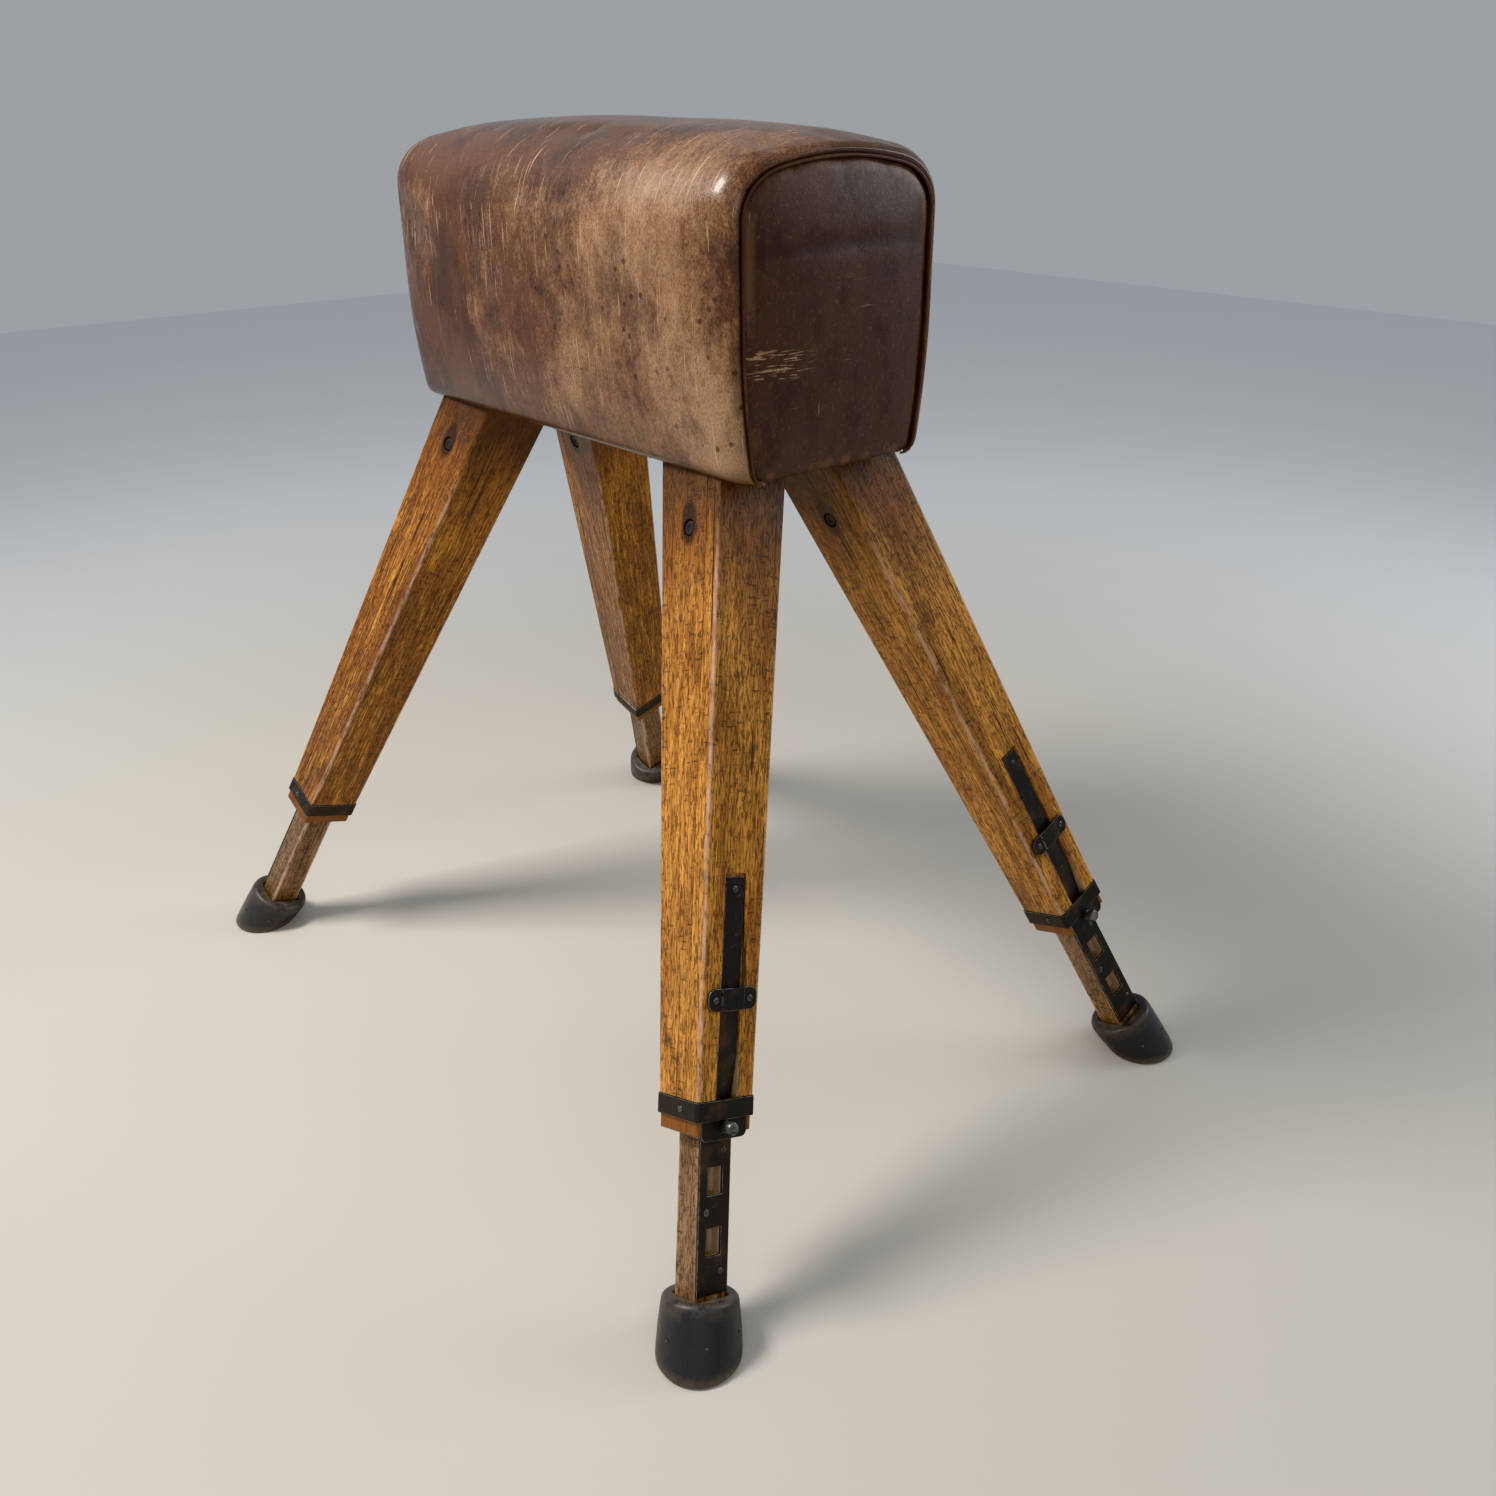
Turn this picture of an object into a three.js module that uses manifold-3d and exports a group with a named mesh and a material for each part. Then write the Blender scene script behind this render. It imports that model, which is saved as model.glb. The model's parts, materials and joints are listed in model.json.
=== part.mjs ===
// Leather-covered vaulting buck on four splayed telescopic wooden legs.
// Millimetres, +Z up. The origin is on the floor, under the middle of the body.
// X runs along the body, Y across it.
import * as THREE from 'three';
import { mergeVertices } from 'three/addons/utils/BufferGeometryUtils.js';
import Module from 'manifold-3d';

const wasm = await Module();
wasm.setup();

// ---------------------------------------------------------------- driving dimensions
const GAP = 0.3; // air left between pieces that touch or lie in a cut

// body
const BODY_BOTTOM = 804; // underside of the leather
const BODY_TOP = 1117; // crown of the seat
const BODY_HALF_WIDTH = 143; // at the fullest height of the sides
const BASE_HALF_WIDTH = 129; // where the sides pull in to the underside
const CROWN = 8; // how far the top rises between its two shoulders
const SHOULDER_RADIUS = 55; // between a side and the top
const TOP_RISE = 8; // how much higher the stuffing stands midway between the ends
const END_ROUND_START = 291; // along X, where the wrap starts to turn towards the end panel
const END_ROUND_RADIUS = 34;
const END_ROUND_ANGLE = 50; // degrees of that turn before the seam
const LEATHER = 3;
const SEAM_INSET = 18; // the piping lies this far inside the fullest outline
const PIPING_RADIUS = 2;
const END_PANEL_BULGE = 5;

// wooden core inside the padding
const CORE_HALF_LENGTH = 300;
const CORE_HALF_WIDTH = 118;
const BOARD = 20; // thickness of the side, end and deck boards
const BASE_BOTTOM = 807;
const BASE_TOP = 838; // the legs end flush with this face
const DECK_TOP = 1065;
const PADDING_BOTTOM = 820;
const BEARER_HEIGHT = 28;
const BEARER_WIDTH = 90;

// upper legs: a tapered beam whose outer face is a separate cover board
const FOOT = new THREE.Vector3(532, 376, 0); // where the leg's axis meets the floor
const HEAD = new THREE.Vector3(223, 72, BODY_BOTTOM); // where it meets the body
const LEG_TWIST = 4.2; // degrees that the outer face turns from the body's end towards its side
const LEG_END = 224; // lower end of the wood, measured along the leg from the floor
const LEG_SECTION_END = [32.3, 36.4]; // half thickness and half width there
const LEG_SECTION_HEAD = [50, 45]; // and where the axis meets the body
const LEG_EDGE = 5; // rounding of its long edges
const COVER_BOARD = 20;
const CHANNEL = { back: -18.8, front: 19.3, half: 20.8, top: 800 }; // guides the inner leg
const CROSS_BOLT = { at: 837, shank: 5.2, head: 8, sink: 5, counterbore: 9 };

// iron at the end of the upper leg
const FERRULE = { bottom: 238.6, height: 20, thickness: 3, proud: 1.2 };
const LOCK_PLATE = { bottom: 218, top: 256, half: 29.5, inner: 28.3, thickness: 2.5, round: 7, hole: 6.5 };
const KEEPER = { at: 359.5, length: 63, height: 23, thickness: 3, round: 9, bridge: 14.2, lift: 1 };

// leaf spring with its catch and knob
const LEAF = { width: 24.5, thickness: 2.5, top: 482.5, kink: 300, seat: 252, bottom: 221 };
const LEAF_FACE = { top: 37.9, kink: 31.9, seat: 24 }; // its outer face, from the leg's axis
const LEAF_GROOVE = { half: 13.5, below: 0.5, top: 486, through: 258 };
const CATCH = { reach: 19, bottom: 222, top: 241, half: 8.5 };
const KNOB = { at: 231, pin: 4, neck: 4.5, head: 6.8, shoulder: 38, end: 46 };

// inner legs
const INNER = { half: 20, back: -18, bottom: 22, top: 660, chamfer: 1.5 };
const RACK = { face: 18.5, thickness: 3, bottom: 60, top: 575 };
const WINDOW = { first: 113, pitch: 61, count: 8, width: 19, height: 28, mortise: 12 };

// hooves
const HOOF = { rim: 57.5, rimRadius: 41, shoulder: 6, soleRadius: 45, soleEdge: 4, toe: 4 };

// ---------------------------------------------------------------- colours
const paint = (color, roughness, metalness = 0) =>
  new THREE.MeshStandardMaterial({ color, roughness, metalness, flatShading: true });
const chestnutLeather = paint(0x5a3322, 0.45);
const darkLeather = paint(0x4a2a20, 0.4);
const horsehair = paint(0x3b332b, 0.95);
const deal = paint(0xb08a5a, 0.8);
const varnishedBeech = paint(0xa86d28, 0.45);
const redBeech = paint(0x7d4526, 0.55);
const blackIron = paint(0x211f20, 0.5, 0.8);
const wornSteel = paint(0x5d5b59, 0.4, 0.9);
const blackRubber = paint(0x1b1b1f, 0.5);

// ---------------------------------------------------------------- shape helpers
function toSolid(geometry) {
  const bare = geometry.clone();
  for (const name of ['normal', 'uv']) bare.deleteAttribute(name);
  const merged = mergeVertices(bare, 1e-3);
  return new wasm.Manifold(new wasm.Mesh({
    numProp: 3,
    vertProperties: new Float32Array(merged.attributes.position.array),
    triVerts: new Uint32Array(merged.index.array),
  }));
}

function toGeometry(solid) {
  const mesh = solid.getMesh();
  const geometry = new THREE.BufferGeometry();
  geometry.setAttribute('position', new THREE.BufferAttribute(mesh.vertProperties, 3));
  geometry.setIndex(new THREE.BufferAttribute(mesh.triVerts, 1));
  geometry.computeVertexNormals();
  return geometry;
}

const cut = (solid, ...tools) => tools.reduce((left, tool) => left.subtract(tool), solid);

// a box from its lowest to its highest corner
function box(low, high) {
  const size = high.map((value, axis) => value - low[axis]);
  const middle = high.map((value, axis) => (value + low[axis]) / 2);
  return new THREE.BoxGeometry(...size).translate(...middle);
}

// a skin over a stack of rings, closed by a fan at each end
function loft(rings) {
  const around = rings[0].length;
  const points = rings.flat();
  const index = [];
  for (let ring = 0; ring + 1 < rings.length; ring++) {
    for (let k = 0; k < around; k++) {
      const a = ring * around + k;
      const b = ring * around + ((k + 1) % around);
      index.push(a, b, b + around, a, b + around, a + around);
    }
  }
  const middle = (ring) => ring.reduce((sum, p) => sum.add(p), new THREE.Vector3()).divideScalar(around);
  const last = (rings.length - 1) * around;
  points.push(middle(rings[0]), middle(rings.at(-1)));
  for (let k = 0; k < around; k++) {
    const next = (k + 1) % around;
    index.push(points.length - 2, next, k, points.length - 1, last + k, last + next);
  }
  const geometry = new THREE.BufferGeometry().setFromPoints(points);
  geometry.setIndex(index);
  geometry.computeVertexNormals();
  return geometry;
}

function roundedRectangle(halfX, halfY, radius, shape = new THREE.Shape()) {
  const [x, y, quarter] = [halfX - radius, halfY - radius, Math.PI / 2];
  shape.absarc(x, y, radius, 0, quarter);
  shape.absarc(-x, y, radius, quarter, 2 * quarter);
  shape.absarc(-x, -y, radius, 2 * quarter, 3 * quarter);
  shape.absarc(x, -y, radius, 3 * quarter, 4 * quarter);
  return shape;
}

const prism = (shape, depth, curveSegments = 3) =>
  new THREE.ExtrudeGeometry(shape, { depth, bevelEnabled: false, curveSegments });

// an outline in X and Z, given thickness along Y about Y = 0
const slab = (outline, width) =>
  prism(new THREE.Shape(outline.map(([x, z]) => new THREE.Vector2(x, z))), width)
    .rotateX(Math.PI / 2).translate(0, width / 2, 0);

// a shape in Y and Z, given thickness along X from x upwards
const upright = new THREE.Matrix4().makeBasis(
  new THREE.Vector3(0, 1, 0), new THREE.Vector3(0, 0, 1), new THREE.Vector3(1, 0, 0));
const plate = (shape, x, thickness) =>
  prism(shape, thickness).applyMatrix4(upright).translate(x, 0, 0);

// a turned piece about the X axis, from [radius, x] pairs
const turned = (profile, segments = 12) =>
  new THREE.LatheGeometry(profile.map(([r, x]) => new THREE.Vector2(r, x)), segments).rotateZ(-Math.PI / 2);

function piece(name, shape, material) {
  const geometry = shape.isBufferGeometry ? shape : toGeometry(shape);
  const mesh = new THREE.Mesh(geometry, material);
  mesh.name = name;
  return mesh;
}

// ---------------------------------------------------------------- body
// The body's cross-section, anticlockwise seen from +X, drawn this far inside the fullest outline.
// Its open version leaves out the underside, which is where the piping and the cover end.
function bodyOutline(inset, bottom = BODY_BOTTOM) {
  const side = BODY_HALF_WIDTH - inset;
  const foot = BASE_HALF_WIDTH - inset;
  const top = BODY_TOP - inset;
  const radius = SHOULDER_RADIUS - inset / 2;
  const round = 0.5523 * radius; // handle length of a quarter circle
  const shoulder = top - CROWN;
  const slope = CROWN / ((side - radius) / 2); // of the crown where it meets the shoulder
  const full = BODY_BOTTOM + 150;
  const path = new THREE.Path();
  path.moveTo(foot, bottom);
  path.bezierCurveTo(foot + 8, bottom + 50, side, full - 60, side, full);
  path.lineTo(side, shoulder - radius);
  path.bezierCurveTo(
    side, shoulder - radius + round, side - radius + round, shoulder - round * slope,
    side - radius, shoulder);
  path.quadraticCurveTo((side - radius) / 2, top, 0, top);
  const half = path.getPoints(7);
  const other = half.slice(0, -1).reverse().map((p) => new THREE.Vector2(-p.x, p.y));
  return [...half, ...other];
}

// one ring of the body at x; above shoulder height it rises towards the middle of the length
function bodyRing(x, inset, bottom) {
  const rise = TOP_RISE * Math.max(0, 1 - (x / END_ROUND_START) ** 2);
  const shoulderFoot = BODY_TOP - CROWN - SHOULDER_RADIUS;
  return bodyOutline(inset, bottom).map((p) => {
    const share = Math.max(0, (p.y - shoulderFoot) / (BODY_TOP - shoulderFoot));
    return new THREE.Vector3(x, p.x, p.y + rise * share);
  });
}

// the wrap's outline at each place along X, turning in at both ends; grown inwards by depth
function bodyLoft(depth, bottom, stretch = 0) {
  const stations = [0, 0.35, 0.7, 1].map((part) => THREE.MathUtils.degToRad(part * END_ROUND_ANGLE));
  const end = stations.map((angle) => [
    END_ROUND_START + (END_ROUND_RADIUS + stretch) * Math.sin(angle),
    END_ROUND_RADIUS * (1 - Math.cos(angle)) + depth,
  ]);
  const middle = [-195, -97, 0, 97, 195].map((x) => [x, depth]);
  const all = [...end.map(([x, inset]) => [-x, inset]).reverse(), ...middle, ...end];
  return loft(all.map(([x, inset]) => bodyRing(x, inset, bottom)));
}

const SEAM_X = END_ROUND_START + END_ROUND_RADIUS * Math.sin(THREE.MathUtils.degToRad(END_ROUND_ANGLE));

function wrapPanel() {
  const hollow = toSolid(bodyLoft(LEATHER, BODY_BOTTOM - 2, GAP));
  const mouths = [-1, 1].map((end) => {
    const inset = END_ROUND_RADIUS * (1 - Math.cos(THREE.MathUtils.degToRad(END_ROUND_ANGLE))) + LEATHER;
    const [near, far] = end > 0 ? [SEAM_X - 2, SEAM_X + 5] : [-SEAM_X - 5, -SEAM_X + 2];
    return toSolid(loft([bodyRing(near, inset, BODY_BOTTOM - 2), bodyRing(far, inset, BODY_BOTTOM - 2)]));
  });
  return cut(toSolid(bodyLoft(0, BODY_BOTTOM)), hollow, ...mouths);
}

function endPanel(end) {
  const edge = SEAM_INSET + PIPING_RADIUS + 2 * GAP;
  const sections = [[SEAM_X - LEATHER, edge], [SEAM_X + 1, edge], [SEAM_X + 3.6, edge + 16],
    [SEAM_X + END_PANEL_BULGE, edge + 52]];
  const rings = sections.map(([x, inset]) => bodyRing(end * x, inset));
  return loft(end > 0 ? rings : rings.reverse());
}

function piping(end) {
  const route = new THREE.CatmullRomCurve3(bodyRing(end * SEAM_X, SEAM_INSET), false, 'centripetal');
  const section = new THREE.Shape().absarc(0, 0, PIPING_RADIUS, 0, 2 * Math.PI);
  return new THREE.ExtrudeGeometry(section, { steps: 40, curveSegments: 4, extrudePath: route });
}

function padding() {
  const clear = LEATHER + 2 * GAP;
  const low = [-CORE_HALF_LENGTH - GAP, -CORE_HALF_WIDTH - GAP, PADDING_BOTTOM - 5];
  const high = [CORE_HALF_LENGTH + GAP, CORE_HALF_WIDTH + GAP, DECK_TOP + GAP];
  const ends = SEAM_X - LEATHER - 2 * GAP;
  const within = box([-ends, -200, PADDING_BOTTOM], [ends, 200, BODY_TOP + 10]);
  return toSolid(bodyLoft(clear, BODY_BOTTOM)).intersect(toSolid(within)).subtract(toSolid(box(low, high)));
}

// ---------------------------------------------------------------- legs
const legLength = HEAD.distanceTo(FOOT);
const mix = (a, b, part) => a + (b - a) * part;
const legHalf = (along, axis) =>
  mix(LEG_SECTION_END[axis], LEG_SECTION_HEAD[axis], (along - LEG_END) / (legLength - LEG_END));
const legTaper = Math.atan((LEG_SECTION_HEAD[0] - LEG_SECTION_END[0]) / (legLength - LEG_END));

// A leg's own frame: X out through its outer face, Z up along its axis, origin on the floor.
function legFrame(alongX, acrossY) {
  const corner = new THREE.Vector3(alongX, acrossY, 1);
  const up = HEAD.clone().sub(FOOT).normalize();
  const out = new THREE.Vector3(1, 0, 0).projectOnPlane(up).normalize()
    .applyAxisAngle(up, THREE.MathUtils.degToRad(LEG_TWIST)).multiply(corner);
  up.multiply(corner);
  const side = up.clone().cross(out);
  return new THREE.Matrix4().makeBasis(out, side, up).setPosition(FOOT.clone().multiply(corner));
}

// the leg's full tapered section between two places along it, grown by some clearance
function legBar(from, to, grow = 0) {
  const ring = (along) =>
    roundedRectangle(legHalf(along, 0) + grow, legHalf(along, 1) + grow, LEG_EDGE)
      .getPoints(3).slice(0, -1).map((p) => new THREE.Vector3(p.x, p.y, along));
  return toSolid(loft([ring(from), ring(to)]));
}

// everything above a level height, in a leg's own frame
const above = (height, frame) =>
  toSolid(box([-900, -900, height], [900, 900, height + 400]).applyMatrix4(frame.clone().invert()));

// what lies behind the joint between the beam and its cover board
const behindCover = (shift) => {
  const joint = (along) => [legHalf(along, 0) - COVER_BOARD + shift, along];
  return toSolid(slab([joint(150), joint(1100), [-150, 1100], [-150, 150]].reverse(), 300));
};

// the step at the leg's end that the ferrule sits in
function ferruleStep() {
  const top = FERRULE.bottom + FERRULE.height + GAP;
  const halves = [0, 1].map((axis) => ferruleHalf(axis) - FERRULE.thickness - GAP);
  const core = prism(roundedRectangle(...halves, LEG_EDGE - FERRULE.thickness), 200).translate(0, 0, 150);
  return cut(toSolid(box([-150, -150, 180], [150, 150, top])), toSolid(core));
}

const ferruleHalf = (axis) => legHalf(FERRULE.bottom + FERRULE.height / 2, axis) + FERRULE.proud;

const channel = (front) =>
  toSolid(box([CHANNEL.back, -CHANNEL.half, 150], [front, CHANNEL.half, CHANNEL.top]));

function legBeam(frame) {
  const { at, shank, counterbore, sink } = CROSS_BOLT;
  const half = legHalf(at, 1);
  const bore = shank + 2 * GAP;
  const hole = new THREE.CylinderGeometry(bore, bore, 2 * half + 20, 12).translate(0, 0, at);
  const mouths = [-1, 1].map((side) =>
    new THREE.CylinderGeometry(counterbore, counterbore, 2 * sink, 16).translate(0, side * half, at));
  const bar = legBar(LEG_END, 1000).intersect(behindCover(0));
  return cut(bar, channel(100), ferruleStep(), above(BASE_TOP, frame), ...[hole, ...mouths].map(toSolid));
}

function coverBoard(frame) {
  const { half, below, top, through } = LEAF_GROOVE;
  const floor = (face) => face - LEAF.thickness - below;
  const groove = slab([
    [CATCH.reach - 1, 150], [60, 150], [60, top], [floor(LEAF_FACE.top), top],
    [floor(LEAF_FACE.kink), LEAF.kink], [CATCH.reach - 1, through],
  ], 2 * half);
  const plateSeat = box(
    [LOCK_PLATE.inner - GAP, -LOCK_PLATE.half - GAP, 150],
    [60, LOCK_PLATE.half + GAP, LOCK_PLATE.top + GAP]);
  const bar = cut(legBar(LEG_END, 1000), behindCover(GAP));
  return cut(bar, channel(CHANNEL.front), ferruleStep(), above(BASE_TOP, frame), toSolid(groove),
    toSolid(plateSeat));
}

function ferrule() {
  const shape = roundedRectangle(ferruleHalf(0), ferruleHalf(1), LEG_EDGE);
  const inner = [0, 1].map((axis) => ferruleHalf(axis) - FERRULE.thickness);
  shape.holes.push(roundedRectangle(...inner, LEG_EDGE - FERRULE.thickness, new THREE.Path()));
  return prism(shape, FERRULE.height).translate(0, 0, FERRULE.bottom);
}

function lockPlate() {
  const { bottom, top, half, inner, thickness, round, hole } = LOCK_PLATE;
  const shape = new THREE.Shape();
  shape.moveTo(half, top);
  shape.lineTo(-half, top);
  shape.lineTo(-half, bottom + round);
  shape.absarc(-half + round, bottom + round, round, Math.PI, 1.5 * Math.PI);
  shape.absarc(half - round, bottom + round, round, 1.5 * Math.PI, 2 * Math.PI);
  shape.holes.push(new THREE.Path().absarc(0, KNOB.at, hole, 0, 2 * Math.PI));
  return plate(shape, inner, thickness);
}

// a strap across the leaf spring, in the frame of the leg's outer face
function keeper() {
  const { length, height, thickness, round, bridge, lift } = KEEPER;
  const strap = plate(roundedRectangle(length / 2, height / 2, round), GAP, thickness);
  const rise = box([1, -bridge, -height / 2], [GAP + thickness + lift, bridge, height / 2]);
  const under = box([-5, -bridge, -height], [GAP + lift, bridge, height]);
  return toSolid(strap).add(toSolid(rise)).subtract(toSolid(under));
}

function leafSpring() {
  const { width, thickness, top, kink, seat, bottom } = LEAF;
  const face = [
    [LEAF_FACE.seat, bottom], [LEAF_FACE.seat, seat], [LEAF_FACE.kink, kink], [LEAF_FACE.top, top]];
  const back = face.map(([x, z]) => [x - thickness, z]).reverse();
  const tooth = box(
    [CATCH.reach, -CATCH.half, CATCH.bottom], [LEAF_FACE.seat - 1, CATCH.half, CATCH.top]);
  return toSolid(slab([...face, ...back], width)).add(toSolid(tooth));
}

function catchKnob() {
  const { pin, neck, head, shoulder, end } = KNOB;
  const start = LEAF_FACE.seat + GAP;
  return turned([[0, start], [pin, start], [pin, start + 8], [neck, start + 9], [neck, shoulder - 1.5],
    [head - 1, shoulder], [head, shoulder + 1], [head, end - 1.5], [head - 1.5, end], [0, end]])
    .translate(0, 0, KNOB.at);
}

const windowCentres = Array.from({ length: WINDOW.count }, (_, k) => WINDOW.first + k * WINDOW.pitch);

const windowBoxes = (back, front) => windowCentres.map((z) => toSolid(box(
  [back, -WINDOW.width / 2, z - WINDOW.height / 2], [front, WINDOW.width / 2, z + WINDOW.height / 2])));

function innerLeg() {
  const front = RACK.face - RACK.thickness - GAP;
  const { half, back, bottom, top, chamfer } = INNER;
  const outline = new THREE.Shape([
    [front, -half], [front, half], [back + chamfer, half], [back, half - chamfer], [back, chamfer - half],
    [back + chamfer, -half],
  ].map(([x, y]) => new THREE.Vector2(x, y)));
  const bar = toSolid(prism(outline, top - bottom).translate(0, 0, bottom));
  return cut(bar, ...windowBoxes(front - WINDOW.mortise, front + 5));
}

function rackPlate() {
  const { face, thickness, bottom, top } = RACK;
  const bar = toSolid(box([face - thickness, -INNER.half, bottom], [face, INNER.half, top]));
  return cut(bar, ...windowBoxes(0, 40));
}

// an oblique hoof: level round sole, top rim square to the leg
function hoof(frame) {
  const { rim, rimRadius, shoulder, soleRadius, soleEdge, toe } = HOOF;
  const around = Array.from({ length: 30 }, (_, k) => (k / 30) * 2 * Math.PI);
  const level = frame.clone().invert();
  const foot = new THREE.Vector3().setFromMatrixPosition(frame);
  const outward = foot.clone().setZ(0).normalize().multiplyScalar(toe);
  const out = new THREE.Vector3().setFromMatrixColumn(frame, 0).setZ(0).normalize();
  const side = new THREE.Vector3(0, 0, 1).cross(out);
  const soleRing = (radius, height) => around.map((angle) => foot.clone().add(outward)
    .addScaledVector(out, radius * Math.cos(angle)).addScaledVector(side, radius * Math.sin(angle))
    .setZ(height).applyMatrix4(level));
  const rimRing = (radius, along) =>
    around.map((angle) => new THREE.Vector3(radius * Math.cos(angle), radius * Math.sin(angle), along));
  const low = soleRing(soleRadius, soleEdge);
  const high = rimRing(rimRadius, rim - shoulder);
  const between = (part) => low.map((p, k) => p.clone().lerp(high[k], part));
  const rings = [soleRing(soleRadius - soleEdge, 0), low, between(0.5), high,
    rimRing(rimRadius - shoulder / 3, rim - shoulder / 4), rimRing(rimRadius - shoulder, rim)];
  const socket = box([INNER.back - GAP, -INNER.half - GAP, INNER.bottom - GAP],
    [RACK.face + GAP, INNER.half + GAP, rim + 20]);
  return cut(toSolid(loft(rings)), toSolid(socket));
}

function crossBolt() {
  const { at, shank, head, sink } = CROSS_BOLT;
  const end = legHalf(at, 1) - 1;
  const neck = legHalf(at, 1) - sink + GAP;
  return turned([[0, -end], [head, -end], [head, -neck], [shank, -neck], [shank, neck], [head, neck],
    [head, end - 1.5], [head - 3, end], [0, end]])
    .rotateZ(Math.PI / 2).translate(0, 0, at);
}

// ---------------------------------------------------------------- assembly
const buck = new THREE.Group();
const corners = { front_right: [1, -1], front_left: [-1, -1], rear_right: [1, 1], rear_left: [-1, 1] };

for (const [corner, signs] of Object.entries(corners)) {
  const frame = legFrame(...signs);
  const leg = new THREE.Group();
  frame.decompose(leg.position, leg.quaternion, leg.scale);
  leg.add(
    piece(`${corner}_leg_beam`, legBeam(frame), varnishedBeech),
    piece(`${corner}_cover_board`, coverBoard(frame), varnishedBeech),
    piece(`${corner}_cross_bolt`, crossBolt(), blackIron),
    piece(`${corner}_ferrule`, ferrule(), blackIron),
    piece(`${corner}_lock_plate`, lockPlate(), blackIron),
    piece(`${corner}_leaf_spring`, leafSpring(), blackIron),
    piece(`${corner}_catch_knob`, catchKnob(), wornSteel),
    piece(`${corner}_inner_leg`, innerLeg(), redBeech),
    piece(`${corner}_rack_plate`, rackPlate(), blackIron),
    piece(`${corner}_hoof`, hoof(frame), blackRubber),
  );
  const outerFace = new THREE.Group();
  outerFace.position.set(legHalf(KEEPER.at, 0), 0, KEEPER.at);
  outerFace.rotation.y = legTaper;
  outerFace.add(piece(`${corner}_keeper`, keeper(), blackIron));
  leg.add(outerFace);
  buck.add(leg);
}

function baseBoard() {
  const [long, wide] = [CORE_HALF_LENGTH, CORE_HALF_WIDTH];
  const board = box([-long, -wide, BASE_BOTTOM], [long, wide, BASE_TOP]);
  const sockets = Object.values(corners).map((signs) =>
    legBar(700, 1100, GAP + 0.2).transform(legFrame(...signs).toArray()));
  return cut(toSolid(board), ...sockets);
}

const boxTop = DECK_TOP - BOARD - GAP;
const boxBottom = BASE_TOP + GAP;
const inside = CORE_HALF_WIDTH - BOARD - GAP;
const bearerX = HEAD.x - ((BASE_TOP - HEAD.z) * (FOOT.x - HEAD.x)) / HEAD.z; // over the legs' top ends
buck.add(
  piece('base_board', baseBoard(), deal),
  piece('deck_board', box(
    [-CORE_HALF_LENGTH, -CORE_HALF_WIDTH, DECK_TOP - BOARD],
    [CORE_HALF_LENGTH, CORE_HALF_WIDTH, DECK_TOP]), deal),
  piece('hair_padding', padding(), horsehair),
  piece('wrap_panel', wrapPanel(), chestnutLeather),
);
for (const [name, side] of [['front', -1], ['rear', 1]]) {
  const [low, high] = [side * CORE_HALF_WIDTH, side * (CORE_HALF_WIDTH - BOARD)].sort((a, b) => a - b);
  buck.add(piece(`${name}_side_board`, box(
    [-CORE_HALF_LENGTH, low, boxBottom], [CORE_HALF_LENGTH, high, boxTop]), deal));
}
for (const [name, end] of [['left', -1], ['right', 1]]) {
  const [low, high] = [end * CORE_HALF_LENGTH, end * (CORE_HALF_LENGTH - BOARD)].sort((a, b) => a - b);
  const middle = end * bearerX;
  buck.add(
    piece(`${name}_end_board`, box([low, -inside, boxBottom], [high, inside, boxTop]), deal),
    piece(`${name}_bearer`, box(
      [middle - BEARER_WIDTH / 2, -inside, boxBottom],
      [middle + BEARER_WIDTH / 2, inside, boxBottom + BEARER_HEIGHT]), deal),
    piece(`${name}_end_panel`, endPanel(end), darkLeather),
    piece(`${name}_piping`, piping(end), darkLeather),
  );
}

export default buck;
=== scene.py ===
"""Leather-covered vaulting buck on four telescopic wooden legs: fine meshes, finishes, stage and camera."""

import json
import math
from contextlib import contextmanager

import bmesh
import bpy
import numpy as np
from bpy.props import FloatProperty, FloatVectorProperty, PointerProperty
from mathutils import Matrix, Vector, noise


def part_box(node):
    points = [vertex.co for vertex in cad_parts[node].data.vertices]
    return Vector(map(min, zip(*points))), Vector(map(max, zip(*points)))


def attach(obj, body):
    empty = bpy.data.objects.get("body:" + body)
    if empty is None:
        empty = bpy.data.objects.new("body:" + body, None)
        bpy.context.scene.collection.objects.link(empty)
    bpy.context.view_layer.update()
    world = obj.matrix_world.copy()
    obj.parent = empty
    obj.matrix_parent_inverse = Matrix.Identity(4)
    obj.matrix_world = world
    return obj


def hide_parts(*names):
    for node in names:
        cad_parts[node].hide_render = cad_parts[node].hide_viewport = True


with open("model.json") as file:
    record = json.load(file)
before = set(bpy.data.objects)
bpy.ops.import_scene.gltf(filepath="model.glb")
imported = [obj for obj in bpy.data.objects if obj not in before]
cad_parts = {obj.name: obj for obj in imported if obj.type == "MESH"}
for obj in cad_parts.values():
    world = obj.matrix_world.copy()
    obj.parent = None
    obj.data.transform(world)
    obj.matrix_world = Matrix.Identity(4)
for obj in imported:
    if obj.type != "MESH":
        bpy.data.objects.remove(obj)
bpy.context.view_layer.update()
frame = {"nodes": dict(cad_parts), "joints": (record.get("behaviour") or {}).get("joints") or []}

bl_info = {
    "name": "Vaulting buck",
    "version": (1, 0, 0),
    "blender": (4, 5, 0),
    "location": "3D View > Sidebar > Buck",
    "description": "Builds the leather body, wooden legs and ironwork of a vaulting buck around its frame",
    "category": "Object",
}

CORNERS = ("front_right", "front_left", "rear_right", "rear_left")

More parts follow.
